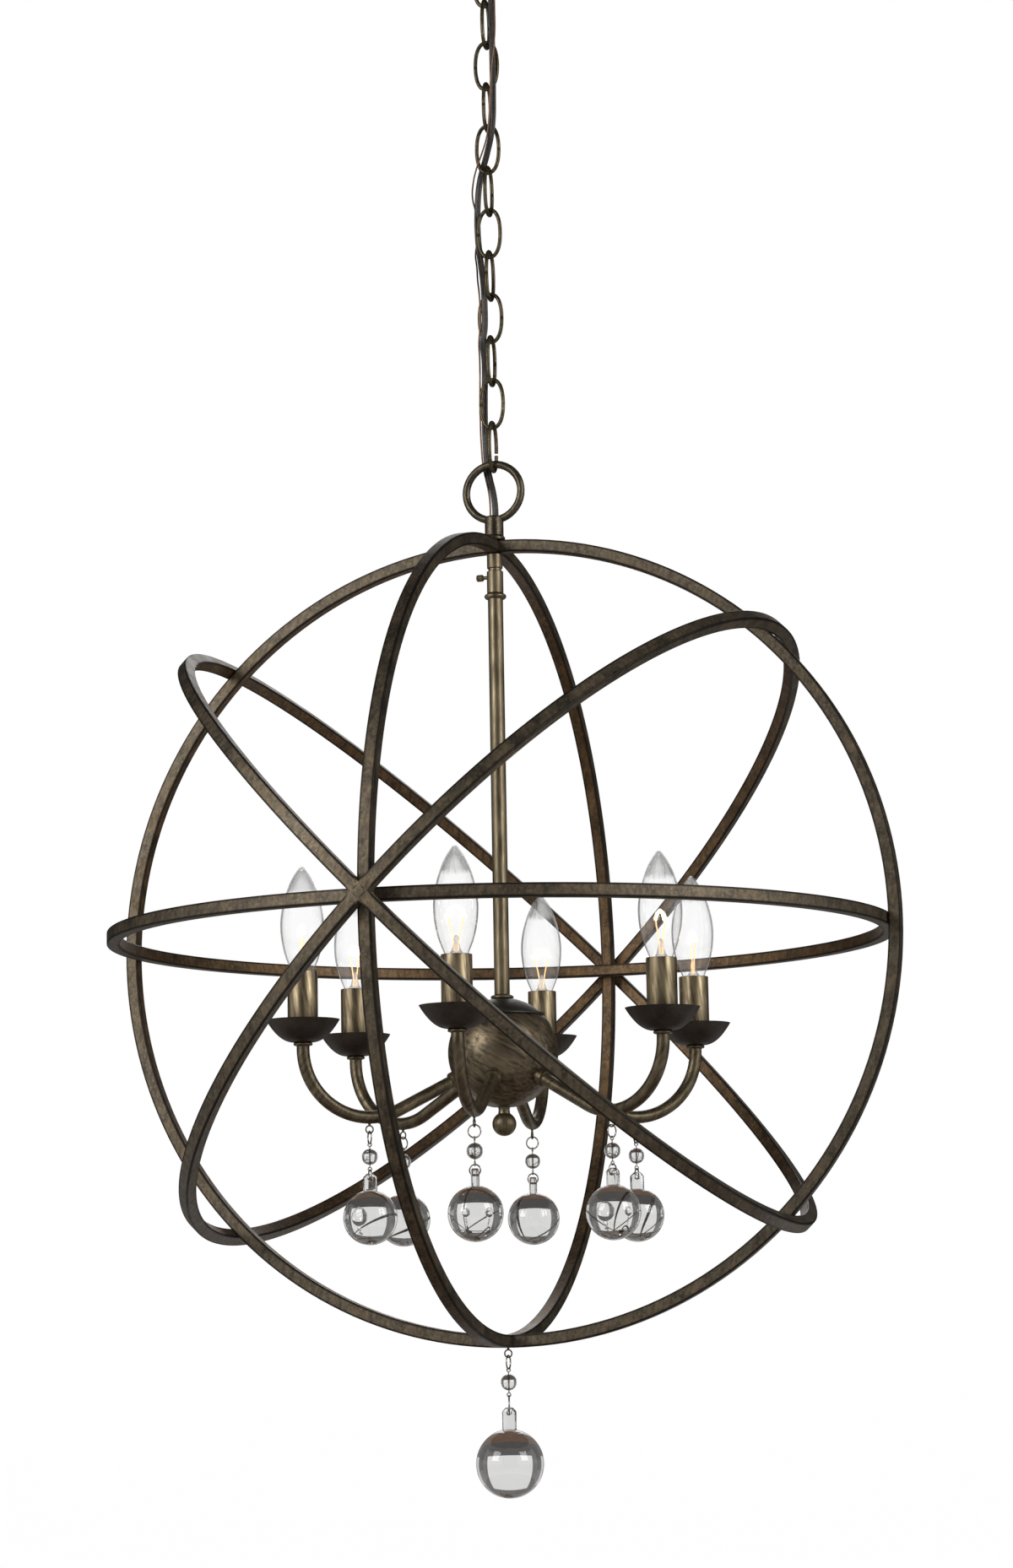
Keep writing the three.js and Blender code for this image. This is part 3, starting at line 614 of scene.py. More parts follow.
def welded_link(name):
    """A closed link: a thin groove runs round the middle of its right leg."""
    link = oval_wire(name, LINK_HALF.x - LINK_WIRE / 2, LINK_HALF.z - LINK_WIRE / 2, LINK_WIRE)
    slice_leg(link, (-WELD, 0.0001 * MM, WELD))
    mesh = bmesh.from_edit_mesh(link.data)
    for vertex in mesh.verts:
        vertex.select_set(vertex.co.x > 0 and abs(vertex.co.z) < WELD / 2)
    bmesh.update_edit_mesh(link.data)
    leg = (LINK_HALF.x - LINK_WIRE / 2, 0, 0)
    bpy.ops.transform.resize(value=(0.86, 0.86, 1), center_override=leg)
    bpy.ops.object.mode_set(mode="OBJECT")
    return settle(link, name, 60)


def hooked_link(name):
    """The open link: a stretch of its leg is left out, and both ends are closed."""
    link = oval_wire(name, LINK_HALF.x - LINK_WIRE / 2, LINK_HALF.z - LINK_WIRE / 2, LINK_WIRE)
    slice_leg(link, (-MOUTH_DROP - MOUTH / 2, -MOUTH_DROP + MOUTH / 2))
    mesh = bmesh.from_edit_mesh(link.data)
    for face in mesh.faces:
        centre = face.calc_center_median()
        face.select_set(centre.x > 0 and abs(centre.z + MOUTH_DROP) < MOUTH / 2)
    bmesh.update_edit_mesh(link.data)
    bpy.ops.mesh.delete(type="FACE")
    bpy.ops.mesh.select_all(action="SELECT")
    bpy.ops.mesh.fill_holes(sides=0)
    bpy.ops.object.mode_set(mode="OBJECT")
    return settle(link, name, 60)


pattern_link = welded_link("pattern_link")
links = []
for i, node in enumerate(CHAIN):
    pattern = pattern_link if i < len(CHAIN) - 1 else hooked_link("pattern_hook")
    turn = math.pi / 2 * (i % 2) + math.pi * ((i // 2) % 2) * (i < len(CHAIN) - 1)
    link = copied(pattern, f"link_wire_{i + 1:02d}", turn=turn, shift=middle(node))
    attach(link, f"link_{i + 1:02d}")
    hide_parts(node)
    links.append(link)
    if pattern is not pattern_link:
        bpy.data.objects.remove(pattern)
bpy.data.objects.remove(pattern_link)
print("Chain of", len(links), "links")

# %% [markdown]
# At the ceiling a thin spun dome hides the wiring. It is a shell: the outline goes down the outside
# and comes back up the inside, so that its rim shows the real thickness of the sheet.

# %% Canopy
CANOPY_RADIUS = high("canopy").x
CANOPY_DEPTH = -low("canopy").z
SHEET = 1.4 * MM
CANOPY_RIM = 4 * MM
CANOPY_STEP = 5 * MM
CANOPY_HOLE = 6.5 * MM


def dome_line(inset):
    """The dome from its rim to its hole, at a distance inside the outer face."""
    reach = CANOPY_RADIUS - CANOPY_STEP - inset
    top = -CANOPY_RIM - CANOPY_STEP
    drop = CANOPY_DEPTH + top - inset
    line = [(CANOPY_RADIUS - inset, 0), (CANOPY_RADIUS - inset, -CANOPY_RIM + inset / 2)]
    for i in range(13):
        turn = math.radians(90 * i / 12)
        line.append((reach * math.cos(turn) ** 0.8, top - drop * math.sin(turn) ** 1.35))
    return [p for p in line if p[0] > CANOPY_HOLE] + [(CANOPY_HOLE, -CANOPY_DEPTH + inset)]


canopy = turned("canopy_dome", dome_line(0) + dome_line(SHEET)[::-1], 96, closed=True)
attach(canopy, "ceiling_mount")
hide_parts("canopy")

# %% [markdown]
# A loop with a hollow collar screws into the middle of the canopy, and a bigger one stands
# on the ball. Each is a bored collar, turned as one closed outline, welded to a ring of thick wire.

# %% Loops
WIREWAY = 4.4 * MM
COLLAR = 7.6 * MM
LOOP_RADIUS = 11 * MM
LOOP_WIRE = 4 * MM
TUBE = 6.2 * MM
loop_foot = low("canopy_loop").z
loop_centre = loop_foot + LOOP_RADIUS + LOOP_WIRE / 2
loop_top = high("canopy_loop").z
collar_top = -CANOPY_DEPTH - 0.3 * MM
collar_foot = collar_top - 12 * MM

collar = turned(
    "collar",
    [
        (WIREWAY, loop_top),
        (TUBE, loop_top),
        (TUBE, collar_top),
        (COLLAR - 0.6 * MM, collar_top),
        (COLLAR, collar_top - 0.6 * MM),
        (COLLAR, collar_foot + 2.4 * MM),
        (COLLAR - 1.2 * MM, collar_foot + 0.5 * MM),
        (COLLAR - 2 * MM, collar_foot),
        (WIREWAY, collar_foot),
    ],
    closed=True,
)
canopy_ring = ring_of_wire("ring", LOOP_RADIUS, LOOP_WIRE, (0, 0, loop_centre), (0, 90, 0))


def opened(ring, level, half_width):
    """Takes out the top of a ring inside its collar, so that the cord can pass."""
    hold(ring)
    bpy.ops.object.mode_set(mode="EDIT")
    mesh = bmesh.from_edit_mesh(ring.data)
    for face in mesh.faces:
        centre = face.calc_center_median()
        near = math.hypot(centre.x, centre.y) < half_width
        face.select_set(near and centre.z * level[1] > level[0] * level[1])
    bmesh.update_edit_mesh(ring.data)
    bpy.ops.mesh.delete(type="FACE")
    bpy.ops.mesh.select_all(action="SELECT")
    bpy.ops.mesh.fill_holes(sides=0)
    bpy.ops.object.mode_set(mode="OBJECT")
    return ring


canopy_loop = welded("canopy_hook", collar, opened(canopy_ring, (loop_centre, 1), WIREWAY))
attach(canopy_loop, "ceiling_mount")
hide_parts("canopy_loop")

TOP_RING = high("top_loop").x - 3 * MM
TOP_WIRE = 6 * MM
TOP_COLLAR = 7.2 * MM
TOP_FLANGE = 8.3 * MM
flange_foot = low("top_loop").z
flange_top = flange_foot + 4 * MM
neck_top = flange_top + 15.4 * MM
top_centre = high("top_loop").z - TOP_RING - TOP_WIRE / 2
NIPPLE = 3.4 * MM
top_collar = turned(
    "top_collar",
    [
        (NIPPLE, flange_foot),
        (TOP_FLANGE - 0.5 * MM, flange_foot),
        *arc(TOP_FLANGE - 0.9 * MM, flange_foot + 0.9 * MM, 0.9 * MM, -60, 0, 3),
        *arc(TOP_FLANGE - 0.9 * MM, flange_foot + 2.2 * MM, 0.9 * MM, 0, 70, 4),
        (TOP_COLLAR + 0.35 * MM, flange_top - 0.4 * MM),
        (TOP_COLLAR, flange_top),
        (TOP_COLLAR, neck_top - 2.4 * MM),
        *arc(TOP_COLLAR - 1.6 * MM, neck_top - 1.8 * MM, 1.6 * MM, 0, 90, 5),
        (WIREWAY, neck_top),
        (WIREWAY, flange_top + 0.3 * MM),
        (NIPPLE, flange_top + 0.3 * MM),
    ],
    closed=True,
)
top_ring = ring_of_wire("ring", TOP_RING, TOP_WIRE, (0, 0, top_centre))
top_loop = welded("top_hook", top_collar, opened(top_ring, (top_centre, -1), WIREWAY))
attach(top_loop, "orb")
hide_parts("top_loop")
print("Canopy, its loop and the loop on the ball")

# %% [markdown]
# The stem is one turned tube from the crossing of the rings down to the hub. It has a coupling under the
# rings, a waist in which a short sleeve slides, a bead below the sleeve, and a small flange where
# it stands on the hub. The sleeve is a tube of its own and is locked by a ribbed thumb screw.

# %% Stem
stem_top = high("stem").z
sleeve_top = high("slip_sleeve").z
sleeve_foot = low("slip_sleeve").z
hub_top = high("hub_cap").z
STEM = 5.8 * MM
COUPLING = 6 * MM
BEAD = 8.4 * MM
SLEEVE = high("slip_sleeve").x
SLEEVE_BORE = SLEEVE - 1.4 * MM
coupling_top = sleeve_top + 13.4 * MM
foot = hub_top + 0.3 * MM
stem = turned(
    "stem_tube",
    [
        (0, stem_top),
        (3.1 * MM, stem_top),
        (3.1 * MM, coupling_top),
        (COUPLING - 0.6 * MM, coupling_top),
        (COUPLING, coupling_top - 0.6 * MM),
        (COUPLING, coupling_top - 10.8 * MM),
        (COUPLING - 0.6 * MM, coupling_top - 11.4 * MM),
        (5 * MM, coupling_top - 11.5 * MM),
        (5 * MM, sleeve_top + 0.3 * MM),
        (4.6 * MM, sleeve_top + 0.2 * MM),
        (4.6 * MM, sleeve_foot - 0.2 * MM),
        (STEM, sleeve_foot - 0.3 * MM),
        *arc(BEAD - 1.9 * MM, sleeve_foot - 2.3 * MM, 1.9 * MM, 80, -80, 8),
        (STEM, sleeve_foot - 4.4 * MM),
        (STEM, foot + 3.4 * MM),
        (STEM + 0.5 * MM, foot + 3 * MM),
        *arc(8.6 * MM - 1.2 * MM, foot + 1.2 * MM, 1.2 * MM, 60, -60, 6),
        (4 * MM, foot),
        (4 * MM, low("stem").z),
        (0, low("stem").z),
    ],
)
sleeve = turned(
    "sleeve_tube",
    [
        (SLEEVE_BORE, sleeve_foot),
        (SLEEVE - 0.4 * MM, sleeve_foot),
        (SLEEVE, sleeve_foot + 0.4 * MM),
        (SLEEVE, sleeve_top - 0.4 * MM),
        (SLEEVE - 0.4 * MM, sleeve_top),
        (SLEEVE_BORE, sleeve_top),
    ],
    closed=True,
)
for piece, node in ((stem, "stem"), (sleeve, "slip_sleeve")):
    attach(piece, "orb")
    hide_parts(node)

# %% [markdown]
# The screw's head is gripped by two fingers, so it is ribbed. The ribs are cut by picking every second strip
# of a turned head and scaling it in towards the screw's own axis.

# %% Thumb screw
screw_place = middle("thumb_screw")
screw_tip = high("thumb_screw").x
screw_end = low("thumb_screw").x
SCREW_HEAD = 2.7 * MM
head_length = 5 * MM
screw_length = screw_tip - screw_end
screw = turned(
    "screw",
    [
        (0, 0),
        (1.1 * MM, 0),
        (1.4 * MM, 0.3 * MM),
        (1.4 * MM, screw_length - head_length),
        (SCREW_HEAD - 0.5 * MM, screw_length - head_length),
        (SCREW_HEAD, screw_length - head_length + 0.7 * MM),
        (SCREW_HEAD, screw_length - 0.7 * MM),
        (SCREW_HEAD - 0.5 * MM, screw_length),
        (0, screw_length),
    ],
    48,
)
hold(screw)
bpy.ops.object.mode_set(mode="EDIT")
mesh = bmesh.from_edit_mesh(screw.data)
for vertex in mesh.verts:
    turn = round(math.atan2(vertex.co.y, vertex.co.x) / math.tau * 48)
    outer = math.hypot(vertex.co.x, vertex.co.y) > SCREW_HEAD - 0.1 * MM
    vertex.select_set(outer and turn % 4 < 2)
bmesh.update_edit_mesh(screw.data)
bpy.ops.transform.resize(value=(0.86, 0.86, 1), center_override=(0, 0, screw_length / 2))
bpy.ops.object.mode_set(mode="OBJECT")
screw.matrix_world = Matrix.Translation((screw_tip, 0, screw_place.z)) @ Matrix.Rotation(-math.pi / 2, 4, "Y")
screw = settle(screw, "thumb_screw_ribbed")
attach(screw, "thumb_screw_body")
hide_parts("thumb_screw")

# %% [markdown]
# The hub is a ball in two halves with a thin lip between them, and a small ball hangs on a neck
# below. All are lathe work, so each is one outline of round stretches.

# %% Hub and finial
HUB = 41.3 * MM
hub_centre = low("hub_bowl").z + HUB - 0.9 * MM
cap_foot = low("hub_cap").z
LIP = high("hub_cap").x
cap_rise = cap_foot - hub_centre
lip_height = 2 * MM


def ball_angle(rise):
    return math.degrees(math.asin(rise / HUB))


hub_cap = turned(
    "hub_cap_shell",
    [
        (0, cap_foot),
        (LIP - 0.5 * MM, cap_foot),
        (LIP, cap_foot + 0.5 * MM),
        (LIP, cap_foot + lip_height / 2),
        (LIP - 0.5 * MM, cap_foot + lip_height * 0.9),
        *arc(0, hub_centre, HUB, ball_angle(cap_rise + lip_height), ball_angle(hub_top - hub_centre), 10),
        (4.6 * MM, hub_top),
        (4.6 * MM, hub_top - 7 * MM),
        (0, hub_top - 7 * MM),
    ],
    96,
)
bowl_top = cap_foot - 0.3 * MM
bowl_rise = bowl_top - hub_centre
BOWL_FLAT = 0.9 * MM
hub_bowl = turned(
    "hub_bowl_shell",
    [
        (0, bowl_top),
        (math.cos(math.radians(ball_angle(bowl_rise))) * HUB - 0.5 * MM, bowl_top),
        *arc(0, hub_centre, HUB, ball_angle(bowl_rise - 0.4 * MM), ball_angle(BOWL_FLAT - HUB), 24),
        (0, hub_centre - HUB + BOWL_FLAT),
    ],
    96,
)
FINIAL = 9 * MM
finial_top = high("finial").z
finial_foot = low("finial").z
finial = turned(
    "finial_ball",
    [
        (0, finial_top),
        (4.6 * MM, finial_top),
        (4.2 * MM, finial_top - 1 * MM),
        (4.2 * MM, finial_top - 2.6 * MM),
        *arc(0, finial_foot + FINIAL, FINIAL, 60, -90, 18),
    ],
)
for piece, node in ((hub_cap, "hub_cap"), (hub_bowl, "hub_bowl"), (finial, "finial")):
    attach(piece, "orb")
    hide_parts(node)
print("Stem, sleeve, screw, hub and finial")

# %% [markdown]
# Six arms leave the hub, dip, and turn up into the candles. One arm is modelled along the X axis, and the
# others are turned copies, so what is true of one is true of all. The tube starts as a circle:
# it is extruded down the slope, spun round the bend and extruded up to its seat.

# %% Arm sizes
candle_1 = middle("candle_sleeve_1")
FIRST_ARM = math.atan2(candle_1.y, candle_1.x)
REACH = math.hypot(candle_1.x, candle_1.y)
ARM = 4.75 * MM
BEND = 50 * MM
SLOPE = math.radians(27)
SEAT = 7.1 * MM
seat_top = low("bobeche_1").z - 0.3 * MM
arm_line = hub_centre - 48.1 * MM
bend_x = REACH - BEND
bend_z = arm_line + BEND
slope_end = Vector((bend_x - math.sin(SLOPE) * BEND, 0, bend_z - math.cos(SLOPE) * BEND))
down_slope = Vector((math.cos(SLOPE), 0, -math.sin(SLOPE)))
arm_start = slope_end - down_slope * (slope_end.x / math.cos(SLOPE) - HUB + 5 * MM)


def arm_tube(name):
    put_down()
    bpy.ops.mesh.primitive_circle_add(
        vertices=24, radius=ARM, location=arm_start, rotation=(0, math.pi / 2 + SLOPE, 0), enter_editmode=True
    )
    tube = bpy.context.object
    bpy.ops.mesh.select_all(action="SELECT")
    bpy.ops.mesh.extrude_region_move(TRANSFORM_OT_translate={"value": slope_end - arm_start})
    bpy.ops.mesh.spin(steps=28, angle=math.pi / 2 + SLOPE, center=(bend_x, 0, bend_z), axis=(0, 1, 0))
    bpy.ops.mesh.extrude_region_move(TRANSFORM_OT_translate={"value": (0, 0, seat_top - bend_z)})
    bpy.ops.mesh.select_all(action="SELECT")
    bpy.ops.mesh.remove_doubles(threshold=MM / 100)
    bpy.ops.mesh.fill_holes(sides=0)
    bpy.ops.mesh.select_all(action="SELECT")
    bpy.ops.mesh.normals_make_consistent(inside=False)
    bpy.ops.object.mode_set(mode="OBJECT")
    return settle(tube, name)


# %% [markdown]
# The bent tube gets a ferrule, a short collar that hides the hole in the hub, and a seat at its end for the
# pan, the socket and the candle. These are small lathe pieces, welded to the tube with the eye for the drop.

# %% Arm
FERRULE = 6.6 * MM
FERRULE_LENGTH = 10.3 * MM


def arm_ferrule(name):
    """A collar where the arm leaves the hub."""
    outline = [
        (0, 0),
        (FERRULE, 0),
        (FERRULE, FERRULE_LENGTH - 1.7 * MM),
        (FERRULE - 0.4 * MM, FERRULE_LENGTH - 0.7 * MM),
        (5 * MM, FERRULE_LENGTH - 0.3 * MM),
        (4.4 * MM, FERRULE_LENGTH),
        (0, FERRULE_LENGTH),
    ]
    ferrule = turned(name, outline, 32)
    ferrule.matrix_world = Matrix.Translation(arm_start) @ Matrix.Rotation(math.pi / 2 + SLOPE, 4, "Y")
    return settle(ferrule, name)


bobeche_foot = low("bobeche_1").z
candle_foot = low("candle_sleeve_1").z
candle_top = high("candle_sleeve_1").z
SOCKET = 9.25 * MM
SOCKET_BORE = 7.25 * MM
SOCKET_LENGTH = 33 * MM
SOCKET_FLOOR = 6 * MM


def arm_seat(name):
    """The seat ring under the drip pan, the post through it and the socket in the candle."""
    seat = turned(
        name,
        [
            (0, seat_top - 2.6 * MM),
            (ARM, seat_top - 2.6 * MM),
            *arc(SEAT - 1.1 * MM, seat_top - 1.1 * MM, 1.1 * MM, -70, 70, 6),
            (3.4 * MM, seat_top),
            (3.4 * MM, candle_foot),
            (SOCKET, candle_foot),
            (SOCKET, candle_foot + SOCKET_LENGTH),
            (SOCKET_BORE, candle_foot + SOCKET_LENGTH),
            (SOCKET_BORE, candle_foot + SOCKET_FLOOR),
            (0, candle_foot + SOCKET_FLOOR),
        ],
        32,
    )
    seat.data.transform(Matrix.Translation((REACH, 0, 0)))
    return seat


arm_pattern = welded(
    "arm_pattern",
    arm_tube("tube"),
    arm_ferrule("ferrule"),
    arm_seat("seat"),
    wire_eye("eye", bend_x, arm_line - ARM),
)

# %% [markdown]
# Under each candle sits a bobeche, a small spun drip pan. Its sheet is thin, so its outline runs out along
# the underside, round the rim and back along the inside.

# %% Drip pan
PAN = (high("bobeche_1").x - low("bobeche_1").x) / 2
PAN_DEPTH = high("bobeche_1").z - low("bobeche_1").z
PAN_SHEET = 1.2 * MM
POST_HOLE = 3.8 * MM


def pan_line(inset):
    """The bowl's curve, nearly flat at the seat and steepest at the rim."""
    line = []
    for i in range(1, 16):
        share = i / 15
        rise = share**2.05
        radius = SEAT + (PAN - SEAT) * share - inset * rise
        line.append((radius, bobeche_foot + PAN_DEPTH * rise + inset * (1 - rise)))
    return line


pan_pattern = turned(
    "pan_pattern",
    [(POST_HOLE, bobeche_foot), (SEAT, bobeche_foot)]
    + pan_line(0)
    + [(PAN - PAN_SHEET / 2, bobeche_foot + PAN_DEPTH)]
    + pan_line(PAN_SHEET)[::-1]
    + [(POST_HOLE, candle_foot - 0.3 * MM)],
    96,
    closed=True,
)

# %% [markdown]
# The candle is a brushed metal tube over the lamp holder. The bulb is a clear flame shape blown as a thin
# shell, on a metal base, with a glass foot inside that carries the wires and the glowing coil. A solid block
# of glass would bend the picture behind it like a lens, so the shell has an inner wall as well.

# %% Candle and bulb
CANDLE = (high("candle_sleeve_1").x - low("candle_sleeve_1").x) / 2
candle_pattern = turned(
    "candle_pattern",
    [
        (CANDLE - 0.9 * MM, candle_foot),
        (CANDLE - 0.1 * MM, candle_foot),
        (CANDLE, candle_foot + 0.2 * MM),
        (CANDLE, candle_top - 0.4 * MM),
        (CANDLE - 0.2 * MM, candle_top),
        (CANDLE - 0.7 * MM, candle_top),
        (CANDLE - 0.9 * MM, candle_top - 0.2 * MM),
    ],
    closed=True,
)
BULB = (high("bulb_1").x - low("bulb_1").x) / 2
bulb_tip = high("bulb_1").z
bulb_foot = low("bulb_1").z
BULB_HEIGHT = bulb_tip - candle_top
FLAME = (
    (0.0, 0.5),
    (0.08, 0.68),
    (0.17, 0.83),
    (0.29, 0.95),
    (0.38, 0.99),
    (0.45, 1.0),
    (0.53, 0.97),
    (0.61, 0.91),
    (0.69, 0.81),
    (0.77, 0.69),
    (0.87, 0.49),
    (0.94, 0.29),
    (0.98, 0.15),
    (1.0, 0.0),
)


def flame_radius(share):
    """The radius of the bulb at a share of its height, on a smooth line through the flame's points."""
    for (s0, r0), (s1, r1) in zip(FLAME, FLAME[1:]):
        if share <= s1:
            t = (share - s0) / (s1 - s0)
            return BULB * (r0 + (r1 - r0) * t)
    return 0.0


def flame_line(inset, steps=40):
    line = []
    for i in range(steps + 1):
        share = 1 - (1 - i / steps) ** 1.3
        spread = 0.04
        before = flame_radius(max(0, share - spread))
        after = flame_radius(min(1, share + spread))
        radius = (before + 2 * flame_radius(share) + after) / 4
        height = candle_top + (BULB_HEIGHT - inset * 2) * share
        if i < steps and radius > inset * 1.6:
            line.append((radius - inset, height))
    return line + [(0, bulb_tip - inset * 2.2)]


GLASS_WALL = 0.5 * MM
bulb_pattern = turned("bulb_pattern", flame_line(0) + flame_line(GLASS_WALL)[::-1], 72, closed=True)
cap_radius = SOCKET_BORE - 1.1 * MM
base_line = [(0, bulb_foot), (cap_radius - 1.5 * MM, bulb_foot)]
for i in range(6):
    z = bulb_foot + (1.5 + i * 2.4) * MM
    base_line += [(cap_radius - 0.5 * MM, z), (cap_radius, z + 1.2 * MM)]
base_line += [
    (cap_radius - 0.5 * MM, candle_top - 3 * MM),
    (cap_radius - 0.5 * MM, candle_top - 0.6 * MM),
    (0, candle_top - 0.6 * MM),
]
base_pattern = turned("base_pattern", base_line, 40)
foot_pattern = turned(
    "foot_pattern",
    [
        (0, candle_top),
        (5.6 * MM, candle_top),
        (3.4 * MM, candle_top + 3 * MM),
        (2.2 * MM, candle_top + 8 * MM),
        (1.6 * MM, candle_top + 12 * MM),
        (0.8 * MM, candle_top + 13.5 * MM),
        (0, candle_top + 14 * MM),
    ],
    32,
)


def filament_wire(name, points, thickness):
    """A thin wire along a few points, as a mesh."""
    wire = route_curve(name, [p / MM for p in points])
    wire.data.bevel_depth = thickness / 2
    wire.data.bevel_resolution = 1
    wire.data.resolution_u = 5
    wire.data.use_fill_caps = True
    hold(wire)
    bpy.ops.object.convert(target="MESH")
    return bpy.context.object


support_top = candle_top + 27 * MM
supports = []
for side_of in (1, -1):
    lead = (
        Vector((0, side_of * 1 * MM, candle_top + 2 * MM)),
        Vector((0, side_of * 2.2 * MM, candle_top + 12 * MM)),
        Vector((0, side_of * 5.5 * MM, support_top)),
    )
    supports.append(filament_wire("lead", lead, 0.9 * MM))
COIL = 0.7 * MM
coil = []
for i in range(61):
    share = i / 60
    sweep_y = (share - 0.5) * 11 * MM
    lift = math.sin(share * math.pi) * 7 * MM
    coil.append(Vector((math.cos(i * 2.4) * COIL, sweep_y, support_top + lift + math.sin(i * 2.4) * COIL)))
supports_pattern = welded("supports_pattern", *supports)
coil_pattern = filament_wire("coil_pattern", coil, 0.6 * MM)
bulb_parts = (bulb_pattern, base_pattern, foot_pattern, supports_pattern, coil_pattern)
for part in bulb_parts + (candle_pattern, pan_pattern):
    part.data.transform(Matrix.Translation((REACH, 0, 0)))

# %% [markdown]
# A drop hangs from every eye: a wire ring, a bead on a looped pin, a second ring, and a glass ball
# with a drilled tab. The ball and its tab are one piece of glass, so they are joined by a boolean, and light
# does not meet a wall between them.

# %% Glass drop
DROP_WIRE = 1.1 * MM
BEAD_BALL = 5.9 * MM
PIN = 0.45 * MM
PIN_LENGTH = 4 * MM
TAB_THICK = 4.4 * MM
TAB_WIDE = 10 * MM
TAB_HOLE = 1.7 * MM
OVERLAP = 0.35 * MM


def ball_glass(name, centre, radius):
    """A ball of glass with even faces."""
    put_down()
    bpy.ops.mesh.primitive_ico_sphere_add(subdivisions=5, radius=radius, location=centre)
    return settle(bpy.context.object, name, 60)


def glass_tab(name, foot_z, top_z, hole_z):
    """A flat plate with cut corners, rounded edges and a drilled hole."""
    half = TAB_WIDE / 2
    put_down()
    bpy.ops.mesh.primitive_plane_add(size=MM, location=(0, 0, 0), enter_editmode=True)
    bpy.ops.mesh.merge(type="CENTER")
    shoulder = top_z - half * 0.55
    narrow = half * 0.45
    corners = [
        (-half, foot_z),
        (half, foot_z),
        (half, shoulder),
        (narrow, top_z),
        (-narrow, top_z),
        (-half, shoulder),
    ]
    bpy.ops.transform.translate(value=(corners[0][0], -TAB_THICK / 2, corners[0][1]))
    for (x0, z0), (x1, z1) in zip(corners, corners[1:]):
        bpy.ops.mesh.extrude_region_move(TRANSFORM_OT_translate={"value": (x1 - x0, 0, z1 - z0)})
    bpy.ops.mesh.select_all(action="SELECT")
    bpy.ops.mesh.edge_face_add()
    bpy.ops.mesh.extrude_region_move(TRANSFORM_OT_translate={"value": (0, TAB_THICK, 0)})
    bpy.ops.mesh.select_all(action="SELECT")
    bpy.ops.mesh.normals_make_consistent(inside=False)
    bpy.ops.mesh.bevel(offset=0.7 * MM, segments=3, affect="EDGES")
    bpy.ops.object.mode_set(mode="OBJECT")
    tab = settle(bpy.context.object, name)
    bpy.ops.mesh.primitive_cylinder_add(
        vertices=24,
        radius=TAB_HOLE,
        depth=TAB_THICK * 2,
        location=(0, 0, hole_z),
        rotation=(math.pi / 2, 0, 0),
    )
    return shaped_by(tab, settle(bpy.context.object, "drill"), "DIFFERENCE")


def glass_drop(name, eye_centre, ring, lower, tab, ball, lower_turn=0):
    """The wires and the two glasses of one drop under an eye's centre."""
    ring_top = eye_centre - EYE_RADIUS + EYE_WIRE / 2 + 0.3 * MM
    upper = ring_top - ring + DROP_WIRE / 2
    pin_top = upper - ring + OVERLAP
    bead = pin_top - PIN_LENGTH - BEAD_BALL
    pin_foot = bead - BEAD_BALL - PIN_LENGTH
    under = pin_foot - lower + OVERLAP
    hole = under - lower + TAB_HOLE - OVERLAP
    tab_top = hole + TAB_HOLE + DROP_WIRE * 2
    ball_z = tab_top - tab - ball
    loop = 1.35 * MM
    pin_outline = [
        (0, pin_foot + loop * 2 - PIN),
        (PIN, pin_foot + loop * 2 - PIN),
        (PIN, pin_top - loop * 2 + PIN),
        (0, pin_top - loop * 2 + PIN),
    ]
    wires = welded(
        name + "_wires",
        ring_of_wire("ring", ring, DROP_WIRE, (0, 0, upper), (0, 90, 0)),
        ring_of_wire("ring", lower, DROP_WIRE, (0, 0, under), (0, 90, lower_turn)),
        ring_of_wire("loop", loop, PIN * 2, (0, 0, pin_top - loop + PIN)),
        ring_of_wire("loop", loop, PIN * 2, (0, 0, pin_foot + loop - PIN)),
        turned("pin", pin_outline, 16),
    )
    bead_glass = ball_glass(name + "_bead", (0, 0, bead), BEAD_BALL)
    plate_foot = ball_z + math.sqrt(ball**2 - (TAB_WIDE / 2) ** 2) - 1.5 * MM
    plate = glass_tab(name + "_tab", plate_foot, tab_top, hole)
    ball_body = shaped_by(ball_glass(name + "_ball", (0, 0, ball_z), ball), plate, "UNION")
    return wires, bead_glass, settle(ball_body, name + "_ball", 30)


arm_eye = arm_line - ARM - EYE_SHANK - EYE_RADIUS
drop_patterns = glass_drop("drop", arm_eye, 4.6 * MM, 4 * MM, 12 * MM, 20 * MM)
for part in drop_patterns:
    part.data.transform(Matrix.Translation((bend_x, 0, 0)))
orb_eye = ORB.z - FACE_OUTER - EYE_SHANK - EYE_RADIUS
low_wires, low_bead, low_ball = glass_drop("low_drop", orb_eye, 5 * MM, 7 * MM, 15.6 * MM, 25 * MM, 17)
for part in (low_wires, low_bead, low_ball):
    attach(part, "bottom_drop_body")
    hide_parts("bottom_drop")
print("Patterns of the arm, the drip pan, the candle, the bulb and the drop")

# %% [markdown]
# With one of each made, the five other places are turned copies.

